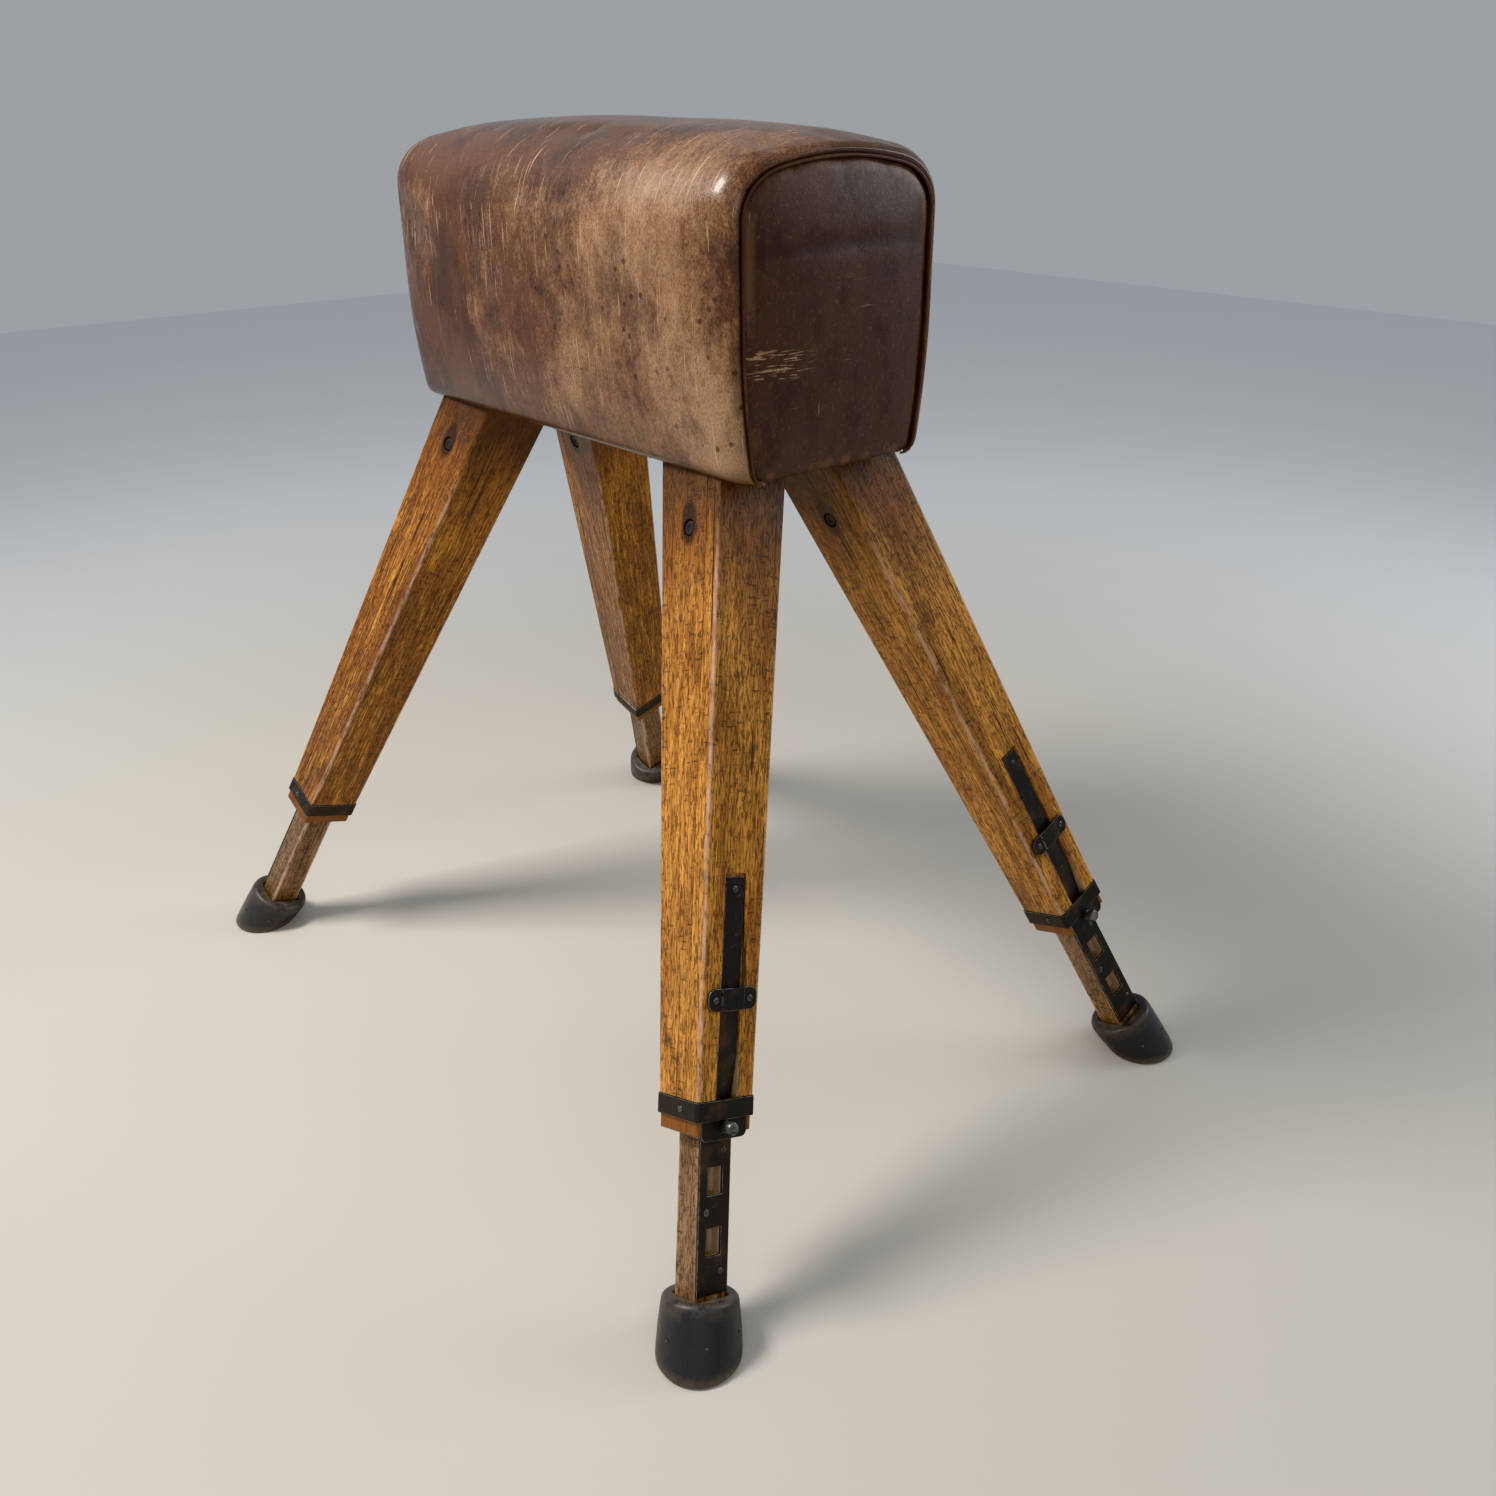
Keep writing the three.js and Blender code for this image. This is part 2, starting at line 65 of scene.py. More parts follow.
# Places on a leg, in metres: out from its axis, across it, and up from the floor along it.
HINGE_OUT = 0.0366
HINGE_UP = 0.4693
LEG_END = 0.224
LEG_HEAD = 0.9135
BOLT_UP = 0.837
HALF_OUT = (0.0323, 0.05)
HALF_ACROSS = (0.0364, 0.045)
INNER_HALF_OUT = (0.0182, 0.0182)
INNER_HALF_ACROSS = (0.0201, 0.0201)
KNOB_UP = 0.231
FERRULE_UP = 0.2486
KEEPER_UP = 0.3595
LEAF_SCREW_UP = 0.470
RACK_SCREW_UP = 0.1435
RACK_PITCH = 0.061
# Inside the windows this colour is painted only on one wall, as painted light on that lit wall.
FRESH_WOOD = (0.60, 0.46, 0.33)  # colour inside the windows and the leaf spring's groove

# The cloth simulation of the stuffed hide.
STUFFING_PRESSURE = 4.0
STUFFING_FRAMES = 20
STUFFING_MOST = 0.005  # no vertex moves further than this


# ---------------------------------------------------------------- sizes and colours a user may change
def length(name, description, default):
    return FloatProperty(name=name, description=description, default=default, unit="LENGTH", precision=4)


def colour(name, description, default):
    return FloatVectorProperty(
        name=name, description=description, default=default, subtype="COLOR", size=3, min=0.0, max=1.0)


class HideSettings(bpy.types.PropertyGroup):
    """The leather body."""

    cell: length("Mesh cell", "Spacing of the mesh over the hide", 0.0085)
    thickness: length("Thickness", "Thickness of the hide", 0.0025)
    crown: length("Crown", "How far the top rises between its shoulders", 0.008)
    rise: length("Rise", "How much higher the top stands midway along", 0.008)
    shoulder: length("Shoulder", "Radius between a side and the top", 0.055)
    pull_in: length("Pull in", "How far each side draws in towards the underside", 0.014)
    fullest: length("Fullest height", "Height above the underside where the sides are fullest", 0.150)
    end_round: length("End rounding", "Radius of the turn from the sides to the end seam", 0.034)
    hem_round: length("Hem rounding", "How softly the hide turns under the base", 0.009)
    seat_dip: length("Seat dip", "How far use has pressed the top down", 0.001)
    turn_under: length("Turned edge", "Width of hide turned under the base", 0.008)
    piping: length("Piping radius", "Radius of the piping in the end seams", 0.0017)
    tack_pitch: length("Tack pitch", "Distance between the tacks under the edge", 0.026)
    chestnut: colour("Chestnut", "Colour of the hide", (0.112, 0.048, 0.026))
    # Also the colour of the painted shade along the seams, at the hem and in the end panels' crease.
    shade: colour("Dark patches", "Colour of the darkest patches", (0.040, 0.020, 0.017))
    rubbed: colour("Rubbed", "Colour where the finish has rubbed off", (0.272, 0.140, 0.072))
    scratch: colour("Scratches", "Colour of scratches in the hide", (0.62, 0.40, 0.235))
    end_tone: colour("End panels", "Colour of the end panels", (0.074, 0.036, 0.025))


class TimberSettings(bpy.types.PropertyGroup):
    """The wooden legs and the hidden core."""

    edge_bevel: length("Arris", "Width of the softened sharp edges", 0.0007)
    amber: colour("Varnish", "Colour of the varnished upper legs", (0.78, 0.345, 0.070))
    # The dark varnish and fleck colours also paint the shade at the tops of the legs and below the ferrules.
    amber_dark: colour("Dark varnish", "Colour of the dark grain", (0.200, 0.066, 0.013))
    fleck: colour("Flecks", "Colour of the flecks and cracks", (0.030, 0.012, 0.006))
    # Also the colour of the painted highlight along the rounded edges of the legs.
    bare: colour("Bare wood", "Colour of worn edges", (0.72, 0.47, 0.34))
    stained: colour("Stained", "Colour of the inner legs", (0.46, 0.26, 0.140))
    deal: colour("Deal", "Colour of the core boards", (0.45, 0.30, 0.16))


class IronSettings(bpy.types.PropertyGroup):
    """The ironwork and hooves."""

    edge_bevel: length("Edge", "Width of the rubbed edges of the iron", 0.0006)
    black: colour("Black", "Colour of the blackened iron", (0.045, 0.040, 0.037))
    rust: colour("Rust", "Colour of the rust film", (0.110, 0.075, 0.056))
    bright: colour("Bright", "Colour of rubbed iron", (0.36, 0.35, 0.33))
    hoof: colour("Hoof", "Colour of the hooves", (0.046, 0.045, 0.047))
    dust: colour("Dust", "Colour of the dust at the soles", (0.18, 0.14, 0.10))


class StageSettings(bpy.types.PropertyGroup):
    """Floor, lights and camera."""

    camera_place: FloatVectorProperty(
        name="Camera", description="Where the camera stands", default=(1.3082, -0.9711, 1.1536),
        subtype="TRANSLATION", size=3)
    heading: FloatProperty(
        name="Heading", description="Turn of the camera about the vertical", default=math.radians(49.40),
        subtype="ANGLE")
    tilt: FloatProperty(
        name="Tilt", description="How far the camera looks down", default=math.radians(25.85), subtype="ANGLE")
    roll: FloatProperty(
        name="Roll", description="Turn of the camera about its own axis", default=math.radians(-0.29),
        subtype="ANGLE")
    lens: FloatProperty(name="Lens", description="Focal length in millimetres", default=32.67, unit="CAMERA")
    floor_size: length("Floor", "Width of the floor", 14.0)
    room_light: FloatProperty(
        name="Room light", description="Strength of the light from all round", default=0.46)
    floor_tone: colour("Floor tone", "Colour of the floor", (0.62, 0.58, 0.52))


# ---------------------------------------------------------------- mesh tools
def only(obj):
    """Leaves one object selected and active."""
    bpy.ops.object.select_all(action="DESELECT")
    obj.select_set(True)
    bpy.context.view_layer.objects.active = obj


def add(kind, name, **settings):
    """A primitive under its own name."""
    bpy.ops.object.select_all(action="DESELECT")
    getattr(bpy.ops.mesh, f"primitive_{kind}_add")(**settings)
    obj = bpy.context.object
    obj.name = obj.data.name = name
    bpy.ops.object.transform_apply(location=True, rotation=True, scale=True)
    return obj


@contextmanager
def editing(obj):
    """Edit mode on one object."""
    only(obj)
    bpy.ops.object.mode_set(mode="EDIT")
    mesh = bmesh.from_edit_mesh(obj.data)
    yield mesh
    bmesh.update_edit_mesh(obj.data)
    bpy.ops.object.mode_set(mode="OBJECT")


def pick(mesh, kind, test):
    """Selects only the vertices, edges or faces that pass a test."""
    bpy.ops.mesh.select_mode(type={"verts": "VERT", "edges": "EDGE", "faces": "FACE"}[kind])
    bpy.ops.mesh.select_all(action="DESELECT")
    for item in getattr(mesh, kind):
        if test(item):
            item.select_set(True)
    mesh.select_flush_mode()


def modify(obj, kind, **settings):
    """Adds a modifier and applies it."""
    only(obj)
    modifier = obj.modifiers.new(kind.lower(), kind)
    for key, value in settings.items():
        setattr(modifier, key, value)
    bpy.ops.object.modifier_apply(modifier=modifier.name)


def boxed(name, low, high):
    """A box between two corners."""
    low, high = Vector(low), Vector(high)
    return add("cube", name, size=1.0, location=(low + high) / 2, scale=high - low)


def cut_away(obj, *tools):
    """Cuts other objects out of one, then removes them."""
    for tool in tools:
        modify(obj, "BOOLEAN", object=tool, operation="DIFFERENCE", solver="EXACT")
        bpy.data.objects.remove(tool)


def bevel_edges(obj, width, angle=40, segments=2):
    """Rounds the sharp edges and marks the new faces as rubbed."""
    obj.data.materials.clear()
    for _ in range(2):
        obj.data.materials.append(None)
    modify(obj, "BEVEL", width=width, segments=segments, limit_method="ANGLE",
           angle_limit=math.radians(angle), use_clamp_overlap=False, material=1)
    rubbed = [float(face.material_index == 1) for face in obj.data.polygons]
    layer = obj.data.attributes.new("rubbed", "FLOAT", "FACE")
    layer.data.foreach_set("value", rubbed)
    obj.data.materials.clear()
    for face in obj.data.polygons:
        face.material_index = 0


def ring_stack(name, rings):
    """A circle extruded from ring to ring, each ring a list of points, and closed at both ends."""
    sides = len(rings[0])
    obj = add("circle", name, vertices=sides, radius=1.0)
    with editing(obj) as mesh:
        order = {vert: index for index, vert in enumerate(mesh.verts)}
        for vert, index in order.items():
            vert.co = rings[0][index]
        bpy.ops.mesh.select_all(action="SELECT")
        for ring in rings[1:]:
            bpy.ops.mesh.extrude_edges_move()
            fresh = {}
            for vert in mesh.verts:
                if vert.select:
                    old = [edge.other_vert(vert) for edge in vert.link_edges if edge.other_vert(vert) in order]
                    fresh[vert] = order[old[0]]
            for vert, index in fresh.items():
                vert.co = ring[index]
            order = fresh
        pick(mesh, "edges", lambda edge: edge.is_boundary)
        bpy.ops.mesh.edge_face_add()
        bpy.ops.mesh.select_all(action="SELECT")
        bpy.ops.mesh.normals_make_consistent(inside=False)
    return obj


def turned(name, profile, sides=24):
    """A turned piece about the X axis from pairs of radius and place, closed at both ends."""
    angles = [2 * math.pi * k / sides for k in range(sides)]
    return ring_stack(name, [
        [Vector((x, radius * math.cos(angle), radius * math.sin(angle))) for angle in angles]
        for radius, x in profile])


def copy_to(model, name, matrix):
    """A copy with its own mesh, put in its place."""
    twin = model.copy()
    twin.data = model.data.copy()
    twin.name = twin.data.name = name
    bpy.context.collection.objects.link(twin)
    twin.data.transform(matrix)
    return twin


def joined(name, pieces):
    """Several objects as one."""
    bpy.ops.object.select_all(action="DESELECT")
    for piece in pieces:
        piece.select_set(True)
    bpy.context.view_layer.objects.active = pieces[0]
    if len(pieces) > 1:
        bpy.ops.object.join()
    obj = bpy.context.object
    obj.name = obj.data.name = name
    return obj


def cad_copy(node, name):
    """A merged copy of a frame node, with its flat faces made whole."""
    obj = bpy.data.objects.new(name, frame["nodes"][node].data.copy())
    obj.data.name = name
    bpy.context.collection.objects.link(obj)
    obj.data.materials.clear()
    only(obj)
    bpy.ops.mesh.customdata_custom_splitnormals_clear()
    with editing(obj):
        bpy.ops.mesh.select_all(action="SELECT")
        bpy.ops.mesh.remove_doubles(threshold=0.00002)
        bpy.ops.mesh.dissolve_limited(angle_limit=math.radians(1.0))
    return obj


def set_vectors(obj, name, vectors):
    """Stores a vector on every vertex."""
    layer = obj.data.attributes.new(name, "FLOAT_VECTOR", "POINT")
    layer.data.foreach_set("vector", np.asarray(vectors, np.float32).ravel())


def set_numbers(obj, name, numbers):
    """Stores a number on every vertex."""
    layer = obj.data.attributes.new(name, "FLOAT", "POINT")
    layer.data.foreach_set("value", np.asarray(numbers, np.float32))


def mark_rubbed(obj, amount):
    """Gives every face of an iron piece the same share of rubbing."""
    layer = obj.data.attributes.new("rubbed", "FLOAT", "FACE")
    layer.data.foreach_set("value", [amount] * len(obj.data.polygons))


def settle(obj, body, material, stands_for=(), angle=35, weighted=False):
    """Shades a finished piece and gives it its body, finish and place in the frame."""
    only(obj)
    bpy.ops.object.shade_smooth_by_angle(angle=math.radians(angle))
    if weighted:
        modify(obj, "WEIGHTED_NORMAL", keep_sharp=True)
    obj.data.materials.clear()
    obj.data.materials.append(material)
    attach(obj, body)
    if stands_for:
        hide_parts(*stands_for)


# ---------------------------------------------------------------- places
def leg_frame(corner):
    """X out through the leg's outer face, Z up along the leg, origin where its axis meets the floor."""
    joints = {joint["name"]: joint for joint in frame["joints"]}
    release = joints[f"{corner}_release"]
    up = -Vector(joints[f"{corner}_extend"]["axis"]).normalized()
    side = -Vector(release["axis"]).normalized()
    out = side.cross(up).normalized()
    origin = Vector(release["pos_m"]) - HINGE_OUT * out - HINGE_UP * up
    return Matrix.Translation(origin) @ Matrix((out, side, up)).transposed().to_4x4()


LEGS = {corner: leg_frame(corner) for corner in CORNERS}


def leg_half(halves, up):
    """Half of the upper leg's section at a place along it."""
    part = (up - LEG_END) / (LEG_HEAD - LEG_END)
    return halves[0] + (halves[1] - halves[0]) * part


def face_frame():
    """The frame of the upper leg's outer face, which leans out as the leg tapers."""
    lean = math.atan((HALF_OUT[1] - HALF_OUT[0]) / (LEG_HEAD - LEG_END))
    start = Vector((leg_half(HALF_OUT, 0.0), 0.0, 0.0))
    return Matrix.Translation(start) @ Matrix.Rotation(lean, 4, "Y")


def lay_grain(obj, corner, lot):
    """Stores the place along and across the leg, and a shifted one that sets each piece's own grain."""
    inverse = LEGS[corner].inverted()
    places = np.array([inverse @ vert.co for vert in obj.data.vertices])
    set_vectors(obj, "section", places)
    set_vectors(obj, "grain", places + np.array((0.37, 0.71, 1.3)) * lot)


# ---------------------------------------------------------------- material tools
class Finish:
    """Builds one procedural material."""

    def __init__(self, name):
        self.material = bpy.data.materials.new(name)
        self.material.use_nodes = True
        self.tree = self.material.node_tree
        self.tree.nodes.clear()
        self.shader = self.add("BsdfPrincipled")
        self.add("OutputMaterial", {"Surface": self.shader.outputs[0]})

    def add(self, kind, inputs=None, **settings):
        node = self.tree.nodes.new("ShaderNode" + kind)
        for key, value in settings.items():
            setattr(node, key, value)
        for key, value in (inputs or {}).items():
            self.put(node.inputs[key], value)
        return node

    def put(self, socket, value):
        if isinstance(value, bpy.types.NodeSocket):
            self.tree.links.new(value, socket)
        elif socket.type == "RGBA":
            socket.default_value = (*value, 1.0)
        else:
            socket.default_value = value

    def place(self):
        return self.add("TexCoord").outputs["Object"]

    def stored(self, name):
        return self.add("Attribute", attribute_name=name).outputs["Vector"]

    def stored_number(self, name):
        return self.add("Attribute", attribute_name=name).outputs["Fac"]

    def scaled(self, vector, scale, turn=(0.0, 0.0, 0.0), shift=(0.0, 0.0, 0.0)):
        return self.add("Mapping", {"Vector": vector, "Scale": scale, "Rotation": turn,
                                    "Location": shift}).outputs[0]

    def noise(self, vector, scale=1.0, detail=3.0, rough=0.5, distort=0.0):
        return self.add("TexNoise", {"Vector": vector, "Scale": scale, "Detail": detail, "Roughness": rough,
                                     "Distortion": distort}).outputs[0]

    def cells(self, vector, scale=1.0, feature="F1", random=1.0):
        return self.add("TexVoronoi", {"Vector": vector, "Scale": scale, "Randomness": random},
                        feature=feature).outputs["Distance"]

    def calc(self, operation, first, second=0.0):
        return self.add("Math", {0: first, 1: second}, operation=operation).outputs[0]

    def times(self, *values):
        result = values[0]
        for value in values[1:]:
            result = self.calc("MULTIPLY", result, value)
        return result

    def band(self, value, low, high, start=0.0, end=1.0):
        return self.add("MapRange", {"Value": value, "From Min": low, "From Max": high, "To Min": start,
                                     "To Max": end}, interpolation_type="SMOOTHSTEP").outputs[0]

    def mix(self, share, first, second):
        return self.add("Mix", {0: share, 6: first, 7: second}, data_type="RGBA").outputs[2]

    def axis(self, vector, name):
        return self.add("SeparateXYZ", {0: vector}).outputs[name]

    def bump(self, height, distance, strength=1.0, under=None):
        inputs = {"Height": height, "Distance": distance, "Strength": strength}
        if under is not None:
            inputs["Normal"] = under
        return self.add("Bump", inputs).outputs[0]

    def finish(self, **inputs):
        for key, value in inputs.items():
            self.put(self.shader.inputs[key.replace("_", " ")], value)
        return self.material


MADE = {}


def finish_named(name):
    """Makes a finish the first time it is asked for."""
    if name not in MADE:
        MADE[name] = FINISHES[name]()
    return MADE[name]


# ---------------------------------------------------------------- finishes
def old_hide():
    """Chestnut hide: rubbed tan patches, dark mottling, and fine scratches that run down the sides, with
    painted shade along the seams, at the hem and on the top.
    """
    look = bpy.context.scene.buck_hide
    f = Finish("old_hide")
    hide = f.stored("hide")
    place = f.place()
    seam = f.stored_number("seam")
    along = f.axis(place, "X")
    height = f.axis(place, "Z")

    cloud = f.noise(f.scaled(place, (6.5, 6.5, 5.5)), detail=5.0, rough=0.62, distort=0.4)
    smear = f.noise(f.scaled(hide, (60.0, 34.0, 34.0)), detail=9.0, rough=0.78, distort=0.3)
    fibre = f.noise(f.scaled(hide, (620.0, 300.0, 300.0)), detail=5.0, rough=0.8)
    stain = f.noise(f.scaled(place, (15.0, 15.0, 9.0), shift=(2.0, 0.4, 5.0)), detail=6.0, rough=0.72)

    # The hide is painted lighter towards the +X end, with fewer dark patches there.
    near_end = f.band(along, -0.30, 0.26)
    # Painted shade on the top: the sides below it get more rubbed tan, so the top stays darker.
    sides_lighter_than_top = f.band(height, 1.115, 1.04)
    wear = f.calc("ADD", f.times(cloud, 0.80), f.times(smear, 0.50))
    wear = f.calc("ADD", wear, f.times(fibre, 0.40))
    grit = f.noise(f.scaled(hide, (190.0, 100.0, 100.0), shift=(4.0, 4.0, 0.0)), detail=6.0, rough=0.75)
    wear = f.calc("ADD", wear, f.times(grit, 0.42))
    wear = f.calc("ADD", wear, f.times(near_end, 0.24))
    # Lighter low on the sides towards the +X end.
    corner = f.times(f.band(along, 0.14, 0.27), f.band(height, 0.97, 0.88))
    wear = f.calc("ADD", wear, f.times(corner, 0.10))
    # Adds that painted shade: more rubbed tan below the top, less on it.
    wear = f.calc("ADD", wear, f.times(sides_lighter_than_top, 0.14))
    rubbed = f.band(wear, 1.25, 1.47)
    bare = f.band(wear, 1.42, 1.60)
    dark = f.band(f.calc("SUBTRACT", stain, f.times(near_end, 0.09)), 0.40, 0.58)

    tone = f.mix(rubbed, look.chestnut, look.rubbed)
    tone = f.mix(f.times(bare, 0.32), tone, look.scratch)
    tone = f.mix(f.times(f.band(fibre, 0.52, 0.40), 0.45), tone, look.shade)
    tone = f.mix(f.times(f.band(fibre, 0.54, 0.66), 0.30), tone, look.rubbed)
    tone = f.mix(f.times(dark, 0.62), tone, look.shade)

    fine = f.noise(f.scaled(hide, (900.0, 16.0, 16.0)), detail=2.0, rough=0.5)
    patchy = f.noise(f.scaled(place, (17.0, 17.0, 9.0), shift=(7.0, 1.0, 3.0)), detail=3.0)
    strokes = f.times(f.band(fine, 0.66, 0.70), f.band(patchy, 0.46, 0.60), f.band(height, 1.08, 1.03))
    slanted = f.noise(f.scaled(hide, (560.0, 13.0, 13.0), turn=(0.0, 0.0, 0.45), shift=(3.0, 8.0, 0.0)),
                      detail=2.0)
    slants = f.times(f.band(slanted, 0.665, 0.69), f.band(cloud, 0.42, 0.56))
    crossing = f.noise(f.scaled(hide, (520.0, 11.0, 11.0), turn=(0.0, 0.0, -0.9), shift=(9.0, 2.0, 0.0)),
                       detail=2.0)
    crosses = f.times(f.band(crossing, 0.695, 0.72), f.band(smear, 0.42, 0.56))
    scratches = f.calc("MAXIMUM", f.times(strokes, 0.75), f.calc("MAXIMUM", slants, crosses))
    tone = f.mix(f.times(scratches, 0.78), tone, look.scratch)

    pits = f.cells(f.scaled(place, (55.0, 55.0, 55.0)), 1.0)
    spots = f.times(f.band(pits, 0.22, 0.10), f.band(stain, 0.46, 0.56))
    tone = f.mix(f.times(spots, 0.8), tone, look.shade)
    # Painted shade along the end seams and low on the sides where the hide turns under the base.
    painted_edge_shade = f.calc("MAXIMUM", f.band(seam, 0.006, 0.0), f.times(f.band(height, 0.826, 0.804), 0.7))
    tone = f.mix(f.times(painted_edge_shade, 0.75), tone, look.shade)

    pores = f.cells(f.scaled(hide, (850.0, 850.0, 850.0)), 1.0)
    creases = f.noise(f.scaled(hide, (90.0, 60.0, 60.0)), detail=6.0, rough=0.7)
    relief = f.bump(f.calc("ADD", f.times(pores, 0.35), creases), 0.0007, 0.45)
    relief = f.bump(scratches, 0.0005, -0.7, relief)
    rough = f.calc("ADD", f.band(rubbed, 0.0, 1.0, 0.25, 0.36), f.times(creases, 0.12))
    rough = f.calc("ADD", rough, f.times(scratches, 0.15))
    return f.finish(Base_Color=tone, Roughness=rough, Normal=relief, Coat_Weight=0.32, Coat_Roughness=0.14)


def end_hide():
    """The darker, smoother hide of the end panels, with a crease and a few scuffs, and painted shade in the
    crease and along the seam.
    """
    look = bpy.context.scene.buck_hide
    f = Finish("end_hide")
    place = f.place()
    seam = f.stored_number("seam")
    height = f.axis(place, "Z")
    cloud = f.noise(f.scaled(place, (7.0, 7.0, 7.0)), detail=5.0, rough=0.6)
    mottle = f.noise(f.scaled(place, (40.0, 40.0, 22.0)), detail=5.0, rough=0.65)
    top = f.band(height, 1.02, 1.10)
    lift = f.band(f.calc("ADD", f.times(cloud, 0.8), f.times(top, 0.22)), 0.38, 0.70)
    tone = f.mix(f.times(lift, 0.75), look.end_tone, look.chestnut)
    tone = f.mix(f.times(f.band(mottle, 0.46, 0.66), 0.60), tone, look.shade)
    speck = f.noise(f.scaled(place, (260.0, 260.0, 200.0)), detail=4.0, rough=0.7)
    tone = f.mix(f.times(f.band(speck, 0.54, 0.70), 0.30), tone, look.rubbed)

    # Painted shade in the crease across the panel.
    crease_line = f.calc("ADD", height, f.times(mottle, 0.012))
    crease = f.times(f.band(crease_line, 1.018, 1.024), f.band(crease_line, 1.036, 1.026))
    tone = f.mix(f.times(crease, 0.55), tone, look.shade)

    across = f.noise(f.scaled(place, (14.0, 14.0, 420.0), turn=(0.35, 0.0, 0.0)), detail=2.0)
    scuffs = f.times(f.band(across, 0.70, 0.76), f.band(cloud, 0.46, 0.60))
    upright = f.noise(f.scaled(place, (300.0, 300.0, 12.0), turn=(0.5, 0.0, 0.0)), detail=2.0)
    scuffs = f.calc("MAXIMUM", scuffs, f.times(f.band(upright, 0.71, 0.77), f.band(mottle, 0.44, 0.58)))
    scrape = f.noise(f.scaled(place, (30.0, 50.0, 520.0), turn=(-0.08, 0.0, 0.0), shift=(0.0, 0.3, 0.0)),
                     detail=3.0)
    near_seam = f.times(f.band(f.axis(place, "Y"), -0.030, -0.070), f.band(height, 0.900, 0.906),
                        f.band(height, 0.936, 0.928))
    scuffs = f.calc("MAXIMUM", scuffs, f.times(f.band(scrape, 0.56, 0.60), near_seam))
    tone = f.mix(f.times(scuffs, 0.50), tone, look.scratch)
    edge_wear = f.times(f.band(seam, 0.016, 0.004), f.band(mottle, 0.46, 0.62))
    tone = f.mix(f.times(edge_wear, 0.45), tone, look.rubbed)
    # Painted shade along the seam.
    painted_edge_shade = f.band(seam, 0.004, 0.0)
    tone = f.mix(f.times(painted_edge_shade, 0.7), tone, look.shade)

    pores = f.cells(f.scaled(place, (900.0, 900.0, 900.0)), 1.0)
    creases = f.noise(f.scaled(place, (70.0, 70.0, 70.0)), detail=6.0, rough=0.7)
    relief = f.bump(f.calc("ADD", f.times(pores, 0.35), creases), 0.0006, 0.5)
    relief = f.bump(scuffs, 0.0004, -0.6, relief)
    rough = f.calc("ADD", f.band(creases, 0.3, 0.7, 0.34, 0.50), f.times(scuffs, 0.2))
    return f.finish(Base_Color=tone, Roughness=rough, Normal=relief, Coat_Weight=0.08, Coat_Roughness=0.25)


def piping_hide():
    """Thin rolled hide, rubbed tan in patches."""
    look = bpy.context.scene.buck_hide
    f = Finish("piping_hide")
    place = f.place()
    worn = f.noise(f.scaled(place, (18.0, 18.0, 18.0)), detail=5.0, rough=0.7)
    tone = f.mix(f.band(worn, 0.45, 0.95), look.end_tone, look.rubbed)
    grain = f.noise(f.scaled(place, (700.0, 700.0, 700.0)), detail=2.0)
    return f.finish(Base_Color=tone, Roughness=f.band(worn, 0.3, 0.7, 0.35, 0.55),
                    Normal=f.bump(grain, 0.0003, 0.4))


